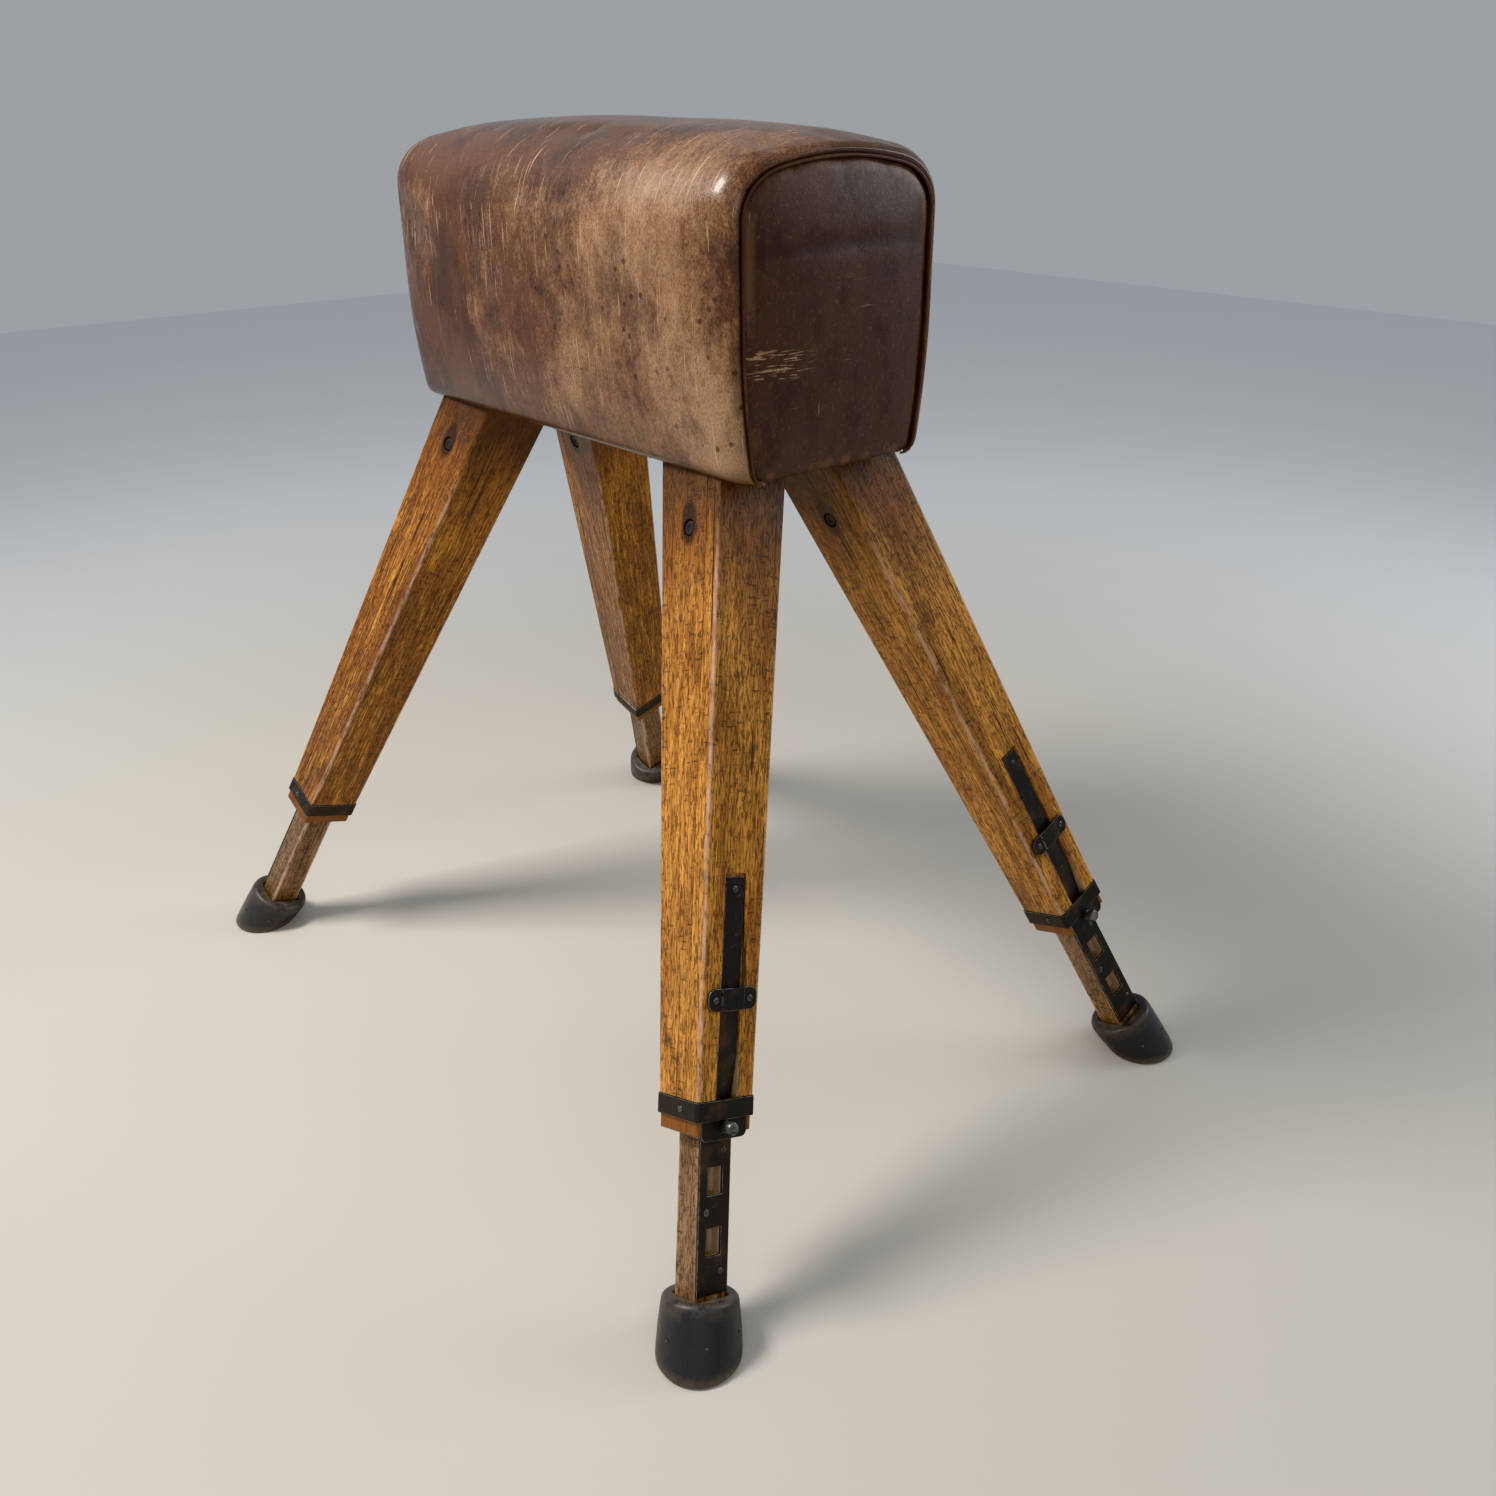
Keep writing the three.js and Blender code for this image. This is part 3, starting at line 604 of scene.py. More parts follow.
def timber(name, light, dark, marks_tone, bare, half_out, half_across, gloss, mortises=False):
    """Wood whose grain follows the leg, with flecks, cracks, edges rubbed bare and given a painted highlight,
    and painted shade mixed with stain at the head.
    """
    f = Finish(name)
    grain = f.stored("grain")
    section = f.stored("section")
    out = f.axis(section, "X")
    across = f.calc("ABSOLUTE", f.axis(section, "Y"))
    up = f.axis(section, "Z")

    def edge_gap(halves, value):
        slope = (halves[1] - halves[0]) / (LEG_HEAD - LEG_END)
        half = f.add("Math", {0: up, 1: slope, 2: halves[0] - slope * LEG_END}, operation="MULTIPLY_ADD")
        return f.calc("SUBTRACT", half.outputs[0], value)

    edge = f.calc("MAXIMUM", edge_gap(half_out, f.calc("ABSOLUTE", out)), edge_gap(half_across, across))
    streaks = f.noise(f.scaled(grain, (330.0, 330.0, 16.0)), detail=5.0, rough=0.65, distort=0.3)
    figure = f.noise(f.scaled(grain, (22.0, 22.0, 5.0)), detail=5.0, rough=0.65, distort=0.8)
    zones = f.noise(f.scaled(grain, (28.0, 28.0, 15.0), shift=(3.0, 1.0, 4.0)), detail=6.0, rough=0.7)
    tone = f.mix(f.times(f.band(streaks, 0.38, 0.66), 0.72), light, dark)
    tone = f.mix(f.times(f.band(figure, 0.42, 0.66), 0.75), tone, dark)
    # The legs towards -X are painted darker along their streaks.
    left_legs_darker = f.band(f.axis(f.place(), "X"), -0.16, -0.28)
    tone = f.mix(f.times(left_legs_darker, f.band(streaks, 0.26, 0.62), 0.95), tone, dark)
    # Painted shade under the body, mixed with stain: the tops of the legs are darkened, darkest against the
    # hide.
    ragged = f.calc("ADD", up, f.calc("ADD", f.times(zones, 0.09), f.times(streaks, 0.07)))
    tone = f.mix(f.times(f.band(ragged, LEG_HEAD - 0.13, LEG_HEAD + 0.01), 0.80), tone, dark)
    tone = f.mix(f.times(f.band(ragged, LEG_HEAD - 0.03, LEG_HEAD + 0.06), 0.70), tone, marks_tone)

    ticks = f.noise(f.scaled(grain, (540.0, 540.0, 100.0)), detail=2.0, rough=0.6, distort=0.5)
    flecks = f.times(f.band(ticks, 0.515, 0.575), f.band(zones, 0.22, 0.50, 0.45, 1.0))
    cracks = f.noise(f.scaled(grain, (230.0, 230.0, 4.0), shift=(8.0, 5.0, 2.0)), detail=2.0, rough=0.5)
    crack = f.times(f.band(cracks, 0.665, 0.690), f.band(zones, 0.36, 0.46))
    nicks = f.noise(f.scaled(grain, (60.0, 60.0, 300.0), turn=(0.5, 0.4, 0.0)), detail=2.0)
    nick = f.times(f.band(nicks, 0.625, 0.665), f.band(figure, 0.40, 0.55))
    marks = f.calc("MAXIMUM", f.times(flecks, 0.75), f.calc("MAXIMUM", crack, f.times(nick, 0.8)))
    tone = f.mix(f.times(marks, 0.92), tone, marks_tone)
    tone = f.mix(f.times(f.band(zones, 0.56, 0.74), 0.70), tone, marks_tone)

    chips = f.noise(f.scaled(grain, (200.0, 200.0, 40.0), shift=(5.0, 2.0, 1.0)), detail=5.0, rough=0.7)
    # Edges rubbed bare, with a painted highlight in the same pale colour along the rounded edges.
    edge_wear_and_sheen = f.times(f.band(edge, 0.0055, 0.0012), f.band(chips, 0.34, 0.58),
                  f.band(up, LEG_HEAD - 0.06, LEG_HEAD - 0.16))
    tone = f.mix(f.times(edge_wear_and_sheen, 0.75), tone, bare)
    bolt_gap = f.calc("MULTIPLY", f.calc("SUBTRACT", up, BOLT_UP + 0.005), 0.52)
    bolt_gap = f.calc("SQRT", f.calc("ADD", f.times(bolt_gap, bolt_gap), f.times(out, out)))
    stain = f.times(f.band(f.calc("ADD", bolt_gap, f.times(chips, 0.006)), 0.0185, 0.0125),
                    f.band(across, 0.030, 0.034))
    tone = f.mix(f.times(stain, 0.92), tone, marks_tone)
    if mortises:
        # Fresh wood inside the windows, painted on the +Y wall only: the wood's own colour, placed as painted
        # light on the lit wall.
        inside = f.times(f.band(across, 0.0101, 0.0099), f.band(out, 0.0015, 0.0025))
        pale = f.band(f.calc("ADD", f.axis(section, "Y"), f.times(zones, 0.006)), 0.003, 0.010)
        tone = f.mix(f.times(inside, pale), tone, FRESH_WOOD)
    else:
        # Painted shade and dirt: the wood below the ferrule is darkened.
        tone = f.mix(f.times(f.band(up, LEG_END + 0.036, LEG_END + 0.030), 0.85), tone, dark)
        groove = f.times(f.band(across, 0.01385, 0.01365), f.band(up, 0.256, 0.262), f.band(up, 0.34, 0.28),
                         f.band(out, 0.012, 0.014))
        tone = f.mix(f.times(groove, 0.85), tone, FRESH_WOOD)

    relief = f.bump(f.calc("SUBTRACT", f.times(streaks, 0.30), marks), 0.0008, 0.5)
    relief = f.bump(chips, 0.0012, f.times(f.band(edge, 0.006, 0.001), 0.6), relief)
    rough = f.calc("ADD", f.band(zones, 0.3, 0.7, gloss, gloss + 0.16), f.times(edge_wear_and_sheen, 0.10))
    return f.finish(Base_Color=tone, Roughness=rough, Normal=relief, Coat_Weight=0.25, Coat_Roughness=0.22)


def varnished_beech():
    """The upper legs' varnished wood."""
    look = bpy.context.scene.buck_timber
    return timber("varnished_beech", look.amber, look.amber_dark, look.fleck, look.bare,
                  HALF_OUT, HALF_ACROSS, 0.36)


def stained_beech():
    """The inner legs' stained wood, pale on one wall inside the windows as painted light on fresh wood."""
    look = bpy.context.scene.buck_timber
    dark = [value * 0.45 for value in look.stained]
    return timber("stained_beech", look.stained, dark, look.fleck, look.bare,
                  INNER_HALF_OUT, INNER_HALF_ACROSS, 0.42, mortises=True)


def bare_deal():
    """Planed softwood boards, grain along the body."""
    look = bpy.context.scene.buck_timber
    f = Finish("bare_deal")
    place = f.place()
    rings = f.noise(f.scaled(place, (4.0, 60.0, 90.0)), detail=5.0, rough=0.6, distort=0.8)
    pores = f.noise(f.scaled(place, (30.0, 700.0, 700.0)), detail=2.0)
    tone = f.mix(f.band(rings, 0.38, 0.64), look.deal, look.stained)
    return f.finish(Base_Color=tone, Roughness=f.band(pores, 0.3, 0.7, 0.6, 0.8),
                    Normal=f.bump(pores, 0.0004, 0.5))


def iron(name, rubbed_share, tone_black, rough_low):
    """Blackened iron with a film of rust and edges rubbed bright."""
    look = bpy.context.scene.buck_iron
    f = Finish(name)
    place = f.place()
    rubbed = f.stored_number("rubbed")
    skin = f.noise(f.scaled(place, (90.0, 90.0, 90.0)), detail=6.0, rough=0.7)
    blotch = f.noise(f.scaled(place, (35.0, 35.0, 35.0), shift=(1.0, 2.0, 3.0)), detail=4.0, rough=0.6)
    tone = f.mix(f.times(f.band(blotch, 0.50, 0.72), 0.6), tone_black, look.rust)
    wear = f.times(rubbed, f.band(skin, 0.36, 0.58), rubbed_share)
    scrape = f.noise(f.scaled(place, (40.0, 40.0, 300.0), turn=(0.4, 0.3, 0.0)), detail=3.0, rough=0.6)
    wear = f.calc("MAXIMUM", wear, f.times(f.band(scrape, 0.66, 0.76), 0.45))
    tone = f.mix(wear, tone, look.bright)
    metal = f.band(wear, 0.0, 1.0, 0.35, 1.0)
    rough = f.calc("SUBTRACT", f.band(skin, 0.3, 0.7, rough_low, rough_low + 0.18), f.times(wear, 0.12))
    relief = f.bump(f.calc("ADD", skin, f.times(blotch, 0.6)), 0.0006, 0.6)
    return f.finish(Base_Color=tone, Metallic=metal, Roughness=rough, Normal=relief)


def black_iron():
    """Blackened iron."""
    return iron("black_iron", 0.85, bpy.context.scene.buck_iron.black, 0.38)


def worn_steel():
    """Bare steel gone grey."""
    look = bpy.context.scene.buck_iron
    return iron("worn_steel", 0.80, [value * 0.16 for value in look.bright], 0.28)


def hoof_rubber():
    """Black hoof, dusty at the sole, greyed round the opening and the rim."""
    look = bpy.context.scene.buck_iron
    f = Finish("hoof_rubber")
    place = f.place()
    worn = f.stored_number("worn")
    height = f.axis(place, "Z")
    skin = f.noise(f.scaled(place, (70.0, 70.0, 70.0)), detail=6.0, rough=0.7)
    scrape = f.noise(f.scaled(place, (220.0, 220.0, 30.0), turn=(0.3, 0.5, 0.0)), detail=3.0, rough=0.6)
    speck = f.noise(f.scaled(place, (420.0, 420.0, 420.0)), detail=2.0)
    dust = f.times(f.band(f.calc("ADD", height, f.times(skin, 0.012)), 0.020, 0.006), 0.75)
    edge = f.times(worn, f.band(skin, 0.34, 0.58))
    marks = f.times(f.band(scrape, 0.64, 0.74), 0.5)
    marks = f.calc("MAXIMUM", marks, f.times(f.band(speck, 0.66, 0.72), 0.5))
    cover = f.calc("MAXIMUM", dust, f.calc("MAXIMUM", f.times(edge, 0.8), f.times(marks, 0.35)))
    tone = f.mix(cover, look.hoof, look.dust)
    rough = f.calc("ADD", f.band(skin, 0.3, 0.7, 0.30, 0.46), f.times(cover, 0.35))
    relief = f.bump(f.calc("SUBTRACT", f.times(skin, 0.8), marks), 0.0007, 0.5)
    return f.finish(Base_Color=tone, Roughness=rough, Normal=relief, Coat_Weight=0.15, Coat_Roughness=0.3)


def pale_floor():
    """A plain pale floor."""
    f = Finish("pale_floor")
    cloud = f.noise(f.scaled(f.place(), (1.2, 1.2, 1.2)), detail=3.0)
    tone = bpy.context.scene.buck_stage.floor_tone
    soft = f.mix(f.times(cloud, 0.1), tone, [value * 0.9 for value in tone])
    away = f.calc("SQRT", f.calc("ADD", f.calc("POWER", f.axis(f.place(), "X"), 2.0),
                                 f.calc("POWER", f.axis(f.place(), "Y"), 2.0)))
    soft = f.mix(f.band(away, 0.9, 3.0), soft, (0.86, 0.87, 0.88))
    return f.finish(Base_Color=soft, Roughness=0.85)


FINISHES = {
    "old_hide": old_hide, "end_hide": end_hide, "piping_hide": piping_hide, "varnished_beech": varnished_beech,
    "stained_beech": stained_beech, "bare_deal": bare_deal,
    "black_iron": black_iron, "worn_steel": worn_steel, "hoof_rubber": hoof_rubber, "pale_floor": pale_floor,
}


# ---------------------------------------------------------------- the body's shape
WRAP_LOW, WRAP_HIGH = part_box("wrap_panel")
SEAM_X = WRAP_HIGH.x
TURN = math.radians(50.0)  # how far the hide turns before the end seam
SEAM_INSET = 0.018  # the piping lies this far inside the fullest outline


def body_outline(inset, count):
    """Evenly spaced points of the body's cross-section in Y and Z, from one lower edge over the top."""
    look = bpy.context.scene.buck_hide
    side = WRAP_HIGH.y - inset
    end_top = WRAP_HIGH.z - look.rise
    foot = WRAP_HIGH.y - look.pull_in - inset
    bottom, top = WRAP_LOW.z, end_top - inset
    radius = look.shoulder - inset / 2
    handle = 0.5523 * radius
    shoulder = top - look.crown
    slope = 2 * look.crown / (side - radius)
    full = bottom + look.fullest
    hem = look.hem_round
    curves = [
        [(foot - hem, bottom), (foot - hem / 3, bottom), (foot + 0.001, bottom + hem / 2),
         (foot + 0.0025, bottom + 1.4 * hem)],
        [(foot + 0.0025, bottom + 1.4 * hem), (foot + 0.008, bottom + 0.05), (side, full - 0.06), (side, full)],
        [(side, full), (side, full), (side, shoulder - radius), (side, shoulder - radius)],
        [(side, shoulder - radius), (side, shoulder - radius + handle),
         (side - radius + handle, shoulder - slope * handle), (side - radius, shoulder)],
        [(side - radius, shoulder), ((side - radius) * 2 / 3, top - look.crown / 3),
         ((side - radius) / 3, top), (0.0, top)],
    ]
    parts = np.linspace(0.0, 1.0, 60)[:, None]
    dense = np.vstack([
        (1 - parts) ** 3 * np.array(a) + 3 * (1 - parts) ** 2 * parts * np.array(b)
        + 3 * (1 - parts) * parts ** 2 * np.array(c) + parts ** 3 * np.array(d)
        for a, b, c, d in curves])
    whole = np.vstack([dense, (dense * (-1, 1))[::-1]])
    steps = np.hypot(*np.diff(whole, axis=0).T)
    walked = np.concatenate([[0.0], np.cumsum(steps)])
    at = np.linspace(0.0, walked[-1], count)
    return np.column_stack([np.interp(at, walked, whole[:, k]) for k in (0, 1)]), at


def undulate(point, amount):
    """Slow unevenness of the padding under the hide."""
    slow = noise.noise(point * 7.0)
    quick = noise.noise(point * 21.0 + Vector((4.0, 9.0, 2.0)))
    return amount * (slow + 0.35 * quick)


def stuff(obj, holds):
    """A short cloth simulation: the stuffing presses the hide out between its held edges."""
    before = np.array([vert.co for vert in obj.data.vertices])
    group = obj.vertex_groups.new(name="held")
    for number, hold in enumerate(holds):
        group.add([number], hold, "REPLACE")
    only(obj)
    cloth = obj.modifiers.new("cloth", "CLOTH")
    cloth.settings.vertex_group_mass = group.name
    cloth.settings.use_pressure = True
    cloth.settings.uniform_pressure_force = STUFFING_PRESSURE
    cloth.settings.tension_stiffness = 60.0
    cloth.settings.compression_stiffness = 60.0
    cloth.settings.bending_stiffness = 8.0
    cloth.settings.effector_weights.gravity = 0.0
    cloth.collision_settings.use_collision = False
    for step in range(1, STUFFING_FRAMES + 1):
        bpy.context.scene.frame_set(step)
    bpy.ops.object.modifier_apply(modifier=cloth.name)
    bpy.context.scene.frame_set(1)
    moved = np.array([vert.co for vert in obj.data.vertices]) - before
    reach = np.linalg.norm(moved, axis=1)
    share = STUFFING_MOST * np.tanh(reach / STUFFING_MOST) / np.maximum(reach, 1e-9)
    obj.data.vertices.foreach_set("co", (before + moved * share[:, None]).astype(np.float32).ravel())
    obj.data.update()
    obj.vertex_groups.clear()


class BUCK_OT_wrap(bpy.types.Operator):
    """The hide over both long sides and the top"""

    bl_idname = "buck.wrap"
    bl_label = "Wrap panel"

    def execute(self, context):
        look = context.scene.buck_hide
        round_start = SEAM_X - look.end_round * math.sin(TURN)
        arc = look.end_round * TURN
        tuck = 0.0045
        girth = body_outline(0.0, 3)[1]
        across = int(girth[-1] / look.cell)
        half = round_start + arc + tuck
        along = int(2 * half / look.cell) * 2
        obj = add("grid", "leather_wrap", x_subdivisions=along, y_subdivisions=across, size=1.0)
        rows = {}
        places, hides, seams = [], [], []
        for vert in obj.data.vertices:
            u, v = vert.co.x + 0.5, vert.co.y + 0.5
            row = round(v * across)
            # stations crowd towards the ends, where the hide turns in to the seam
            walked = half * math.sin(math.pi * (u - 0.5) * 0.97) / math.sin(math.pi * 0.485)
            past = max(0.0, abs(walked) - round_start)
            angle = min(past / look.end_round, TURN)
            inset = look.end_round * (1 - math.cos(angle))
            x = min(abs(walked), round_start) + look.end_round * math.sin(angle)
            dive = max(0.0, past - arc)
            inset += dive * 0.95
            x -= dive * 0.30
            key = round(inset, 6)
            if key not in rows:
                rows[key] = body_outline(inset, across + 1)
            points, at = rows[key]
            y, z = points[row]
            places.append(Vector((math.copysign(x, walked), y, z)))
            hides.append((walked, at[row] - at[-1] / 2, 0.0))
            seams.append(max(0.0, half - abs(walked)))
        for vert, place in zip(obj.data.vertices, places):
            vert.co = place
        set_vectors(obj, "hide", hides)
        set_numbers(obj, "seam", seams)
        self.soften(obj, look)
        self.face_out(obj)
        stuff(obj, [self.held(vert) for vert in obj.data.vertices])
        self.turn_edge(obj, look)
        with editing(obj):
            bpy.ops.mesh.select_all(action="SELECT")
            bpy.ops.mesh.normals_make_consistent(inside=False)
        modify(obj, "SUBSURF", levels=1, render_levels=1)
        self.face_out(obj)
        modify(obj, "SOLIDIFY", thickness=look.thickness, offset=-1.0, use_even_offset=False)
        settle(obj, "frame", finish_named("old_hide"), ("wrap_panel", "hair_padding"), 60)
        return {"FINISHED"}

    def soften(self, obj, look):
        """Raises the top towards the middle, presses the seat down and lets the padding show through."""
        obj.data.update()
        end_top = WRAP_HIGH.z - look.rise
        round_start = SEAM_X - look.end_round * math.sin(TURN)
        for vert in obj.data.vertices:
            place, out = vert.co.copy(), vert.normal.copy()
            if out.dot(place - Vector((place.x, 0.0, 0.95))) < 0:
                out = -out
            calm = min(1.0, max(0.0, (SEAM_X - abs(place.x)) / 0.04))
            lower = min(1.0, max(0.0, (place.z - WRAP_LOW.z) / 0.03))
            vert.co += out * undulate(place, 0.0014) * calm * lower
            share = max(0.0, (place.z - end_top) / (look.crown + look.shoulder) + 1.0)
            vert.co.z += look.rise * share * max(0.0, 1 - (place.x / round_start) ** 2)
            vert.co.z -= look.seat_dip * share * calm * math.exp(-((place.x - 0.06) / 0.13) ** 2)

    def turn_edge(self, obj, look):
        """Turns both lower edges under the base."""
        with editing(obj) as mesh:
            pick(mesh, "edges", lambda edge: edge.is_boundary and all(
                vert.co.z < WRAP_LOW.z + 0.001 for vert in edge.verts))
            for step in range(2):
                bpy.ops.mesh.extrude_edges_move()
                for vert in mesh.verts:
                    if vert.select:
                        vert.co.y -= math.copysign(look.turn_under / 2, vert.co.y)
                        vert.co.z = WRAP_LOW.z + 0.0002

    def held(self, vert):
        """Full hold at the end seams and the hem, none a few centimetres away."""
        gap = min(SEAM_X - abs(vert.co.x), vert.co.z - WRAP_LOW.z)
        return max(0.0, 1.0 - gap / 0.012)

    def face_out(self, obj):
        """Makes sure that the faces point away from the body's middle."""
        highest = max(obj.data.polygons, key=lambda face: face.center.z)
        if highest.normal.z < 0:
            obj.data.flip_normals()


class BUCK_OT_end_panels(bpy.types.Operator):
    """The two end panels of hide, inside their piping"""

    bl_idname = "buck.end_panels"
    bl_label = "End panels"

    def execute(self, context):
        look = context.scene.buck_hide
        for end, name in ((1, "right_end_panel"), (-1, "left_end_panel")):
            self.panel(look, end, name)
        return {"FINISHED"}

    def panel(self, look, end, name):
        """A grid drawn out to the seam, domed, with a crease across it."""
        edge = SEAM_INSET + look.piping + 0.0004
        cells = 40
        outline, walked = body_outline(edge, 401)
        shoulder = 0.345
        fractions = walked / walked[-1]

        def at(part):
            return np.array([np.interp(part, fractions, outline[:, k]) for k in (0, 1)])

        left = [at(shoulder * k / cells) for k in range(cells + 1)]
        right = [at(1.0 - shoulder * k / cells) for k in range(cells + 1)]
        top = [at(shoulder + (1 - 2 * shoulder) * k / cells) for k in range(cells + 1)]
        start, stop = outline[0], outline[-1]
        obj = add("grid", f"{name}_hide", x_subdivisions=cells, y_subdivisions=cells, size=1.0)
        low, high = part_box(name)
        reach = max(abs(low.x), abs(high.x))
        spots, seams = [], []
        border = np.vstack([outline, start + (stop - start) * np.linspace(0, 1, 60)[:, None]])
        for vert in obj.data.vertices:
            u, v = vert.co.x + 0.5, vert.co.y + 0.5
            i, j = round(u * cells), round(v * cells)
            base = start * (1 - u) + stop * u
            flat = ((1 - v) * base + v * top[i] + (1 - u) * left[j] + u * right[j]
                    - (1 - u) * (1 - v) * start - u * (1 - v) * stop - (1 - u) * v * top[0] - u * v * top[-1])
            gap = float(np.min(np.hypot(*(border - flat).T)))
            dome = min(1.0, gap / 0.07)
            lift = (reach - SEAM_X) * (1 - (1 - dome) ** 2)
            tuck = 0.0035 * max(0.0, 1 - gap / 0.006) ** 2
            x = SEAM_X - 0.0005 + lift - tuck
            point = Vector((end * x, flat[0], flat[1]))
            point.x += end * undulate(point, 0.0014) * dome
            point.x -= end * 0.0022 * dome * math.exp(-((point.z - 1.022) / 0.008) ** 2)
            spots.append(point)
            seams.append(gap)
        for vert, spot in zip(obj.data.vertices, spots):
            vert.co = spot
        set_numbers(obj, "seam", seams)
        obj.data.update()
        middle = max(obj.data.polygons, key=lambda face: abs(face.center.x))
        if middle.normal.x * end < 0:
            obj.data.flip_normals()
        stuff(obj, [max(0.0, 1.0 - gap / 0.010) for gap in seams])
        modify(obj, "SUBSURF", levels=1, render_levels=1)
        modify(obj, "SOLIDIFY", thickness=look.thickness, offset=-1.0, use_even_offset=False)
        settle(obj, "frame", finish_named("end_hide"), (name,), 60)


class BUCK_OT_piping(bpy.types.Operator):
    """The rolled piping sewn into both end seams"""

    bl_idname = "buck.piping"
    bl_label = "Piping"

    def execute(self, context):
        look = context.scene.buck_hide
        for end, node in ((1, "right_piping"), (-1, "left_piping")):
            outline = body_outline(SEAM_INSET, 140)[0]
            ways = np.gradient(outline, axis=0)
            ways /= np.hypot(*ways.T)[:, None]
            across = Vector((1.0, 0.0, 0.0))
            rings = []
            for (y, z), (way_y, way_z) in zip(outline, ways):
                middle = Vector((end * (SEAM_X + 0.0004), y, z))
                outward = Vector((0.0, way_z, -way_y))
                rings.append([middle + look.piping * (math.cos(angle) * outward + math.sin(angle) * across)
                              for angle in (2 * math.pi * k / 10 for k in range(10))])
            obj = ring_stack(f"{node}_roll", rings)
            settle(obj, "frame", finish_named("piping_hide"), (node,), 60)
        return {"FINISHED"}


class BUCK_OT_tacks(bpy.types.Operator):
    """Round-headed tacks that hold the hide under the base"""

    bl_idname = "buck.tacks"
    bl_label = "Tacks"

    def execute(self, context):
        look = context.scene.buck_hide
        tack = turned("tack_model", [(0.0010, -0.0012), (0.0030, -0.0008), (0.0034, 0.0), (0.0026, 0.0008),
                                     (0.0010, 0.0012)], 10)
        tack.data.transform(Matrix.Rotation(math.pi / 2, 4, "Y"))
        line = WRAP_HIGH.y - look.pull_in - look.hem_round - look.turn_under / 2
        count = int(2 * (SEAM_X - 0.03) / look.tack_pitch)
        places = [Vector(((k - count / 2) * look.tack_pitch, side * line, WRAP_LOW.z))
                  for k in range(count + 1) for side in (-1, 1)]
        twins = [copy_to(tack, f"tack_{k}", Matrix.Translation(place)) for k, place in enumerate(places)]
        bpy.data.objects.remove(tack)
        obj = joined("hem_tacks", twins)
        mark_rubbed(obj, 0.4)
        settle(obj, "frame", finish_named("black_iron"))
        return {"FINISHED"}


class BUCK_OT_core(bpy.types.Operator):
    """Finish of the wooden core boards"""

    bl_idname = "buck.core"
    bl_label = "Core boards"

    def execute(self, context):
        for name in ("base_board", "deck_board", "front_side_board", "rear_side_board", "left_end_board",
                     "right_end_board", "left_bearer", "right_bearer"):
            node = frame["nodes"][name]
            node.data.materials.clear()
            node.data.materials.append(finish_named("bare_deal"))
        return {"FINISHED"}


class BUCK_OT_timber(bpy.types.Operator):
    """The upper legs with their cover boards, and the inner legs"""

    bl_idname = "buck.timber"
    bl_label = "Leg timber"

    def execute(self, context):
        look = context.scene.buck_timber
        kinds = (("leg_beam", "frame", "varnished_beech", "varnished_beech"),
                 ("cover_board", "frame", "varnished_beech", "varnished_beech"),
                 ("inner_leg", "foot", "red_beech", "stained_beech"))
        lot = 0
        for corner in CORNERS:
            for kind, rides, slot, material in kinds:
                node = f"{corner}_{kind}"
                obj = cad_copy(node, f"{node}_wood")
                bevel_edges(obj, look.edge_bevel)
                lay_grain(obj, corner, lot)
                body = rides if rides == "frame" else f"{corner}_foot"
                settle(obj, body, finish_named(material), (node,), weighted=True)
                lot += 1
        return {"FINISHED"}


class BUCK_OT_plates(bpy.types.Operator):
    """Ferrules, lock plates, leaf springs and rack plates with rubbed edges"""

    bl_idname = "buck.plates"
    bl_label = "Iron plates"

    def execute(self, context):
        look = context.scene.buck_iron
        for corner in CORNERS:
            for kind, body in (("ferrule", "frame"), ("lock_plate", "frame"), ("keeper", "frame"),
                               ("leaf_spring", f"{corner}_latch"), ("rack_plate", f"{corner}_foot")):
                node = f"{corner}_{kind}"
                obj = cad_copy(node, f"{node}_iron")
                bevel_edges(obj, look.edge_bevel)
                settle(obj, body, finish_named("black_iron"), (node,), weighted=True)
        return {"FINISHED"}


class BUCK_OT_turned(bpy.types.Operator):
    """The catch knobs and the heads of the cross bolts"""

    bl_idname = "buck.turned"
    bl_label = "Turned pieces"

    def execute(self, context):
        knob = turned("knob_model", [
            (0.0015, 0.0243), (0.004, 0.0243), (0.004, 0.0318), (0.0062, 0.0322), (0.0062, 0.0338),
            (0.0043, 0.0342), (0.0043, 0.0368), (0.0060, 0.0378), (0.0068, 0.0384), (0.0068, 0.0446),
            (0.0064, 0.0455), (0.0056, 0.0459), (0.0048, 0.0456), (0.0012, 0.0455)], 28)
        bolt = self.bolt()
        for corner in CORNERS:
            place = LEGS[corner]
            knob_place = place @ Matrix.Translation((0.0, 0.0, KNOB_UP))
            twin = copy_to(knob, f"{corner}_knob", knob_place)
            mark_rubbed(twin, 0.75)
            settle(twin, f"{corner}_latch", finish_named("worn_steel"),
                   (f"{corner}_catch_knob",))
            twin = copy_to(bolt, f"{corner}_bolt", place)
            mark_rubbed(twin, 0.0)
            settle(twin, "frame", finish_named("black_iron"), (f"{corner}_cross_bolt",))
        for model in (knob, bolt):
            bpy.data.objects.remove(model)
        return {"FINISHED"}

    def bolt(self):
        """The cross bolt, with a head at each end of one profile."""
        half = leg_half(HALF_ACROSS, BOLT_UP)
        end, neck = half - 0.001, half - 0.0047
        side = [(0.0052, neck), (0.0080, neck), (0.0080, end - 0.0012), (0.0070, end), (0.0035, end),
                (0.0030, end - 0.0008), (0.0008, end - 0.0008)]
        profile = [(radius, -x) for radius, x in side[::-1]] + side
        obj = turned("bolt_model", profile, 24)
        obj.data.transform(Matrix.Translation((0.0, 0.0, BOLT_UP)) @ Matrix.Rotation(math.pi / 2, 4, "Z"))
        return obj


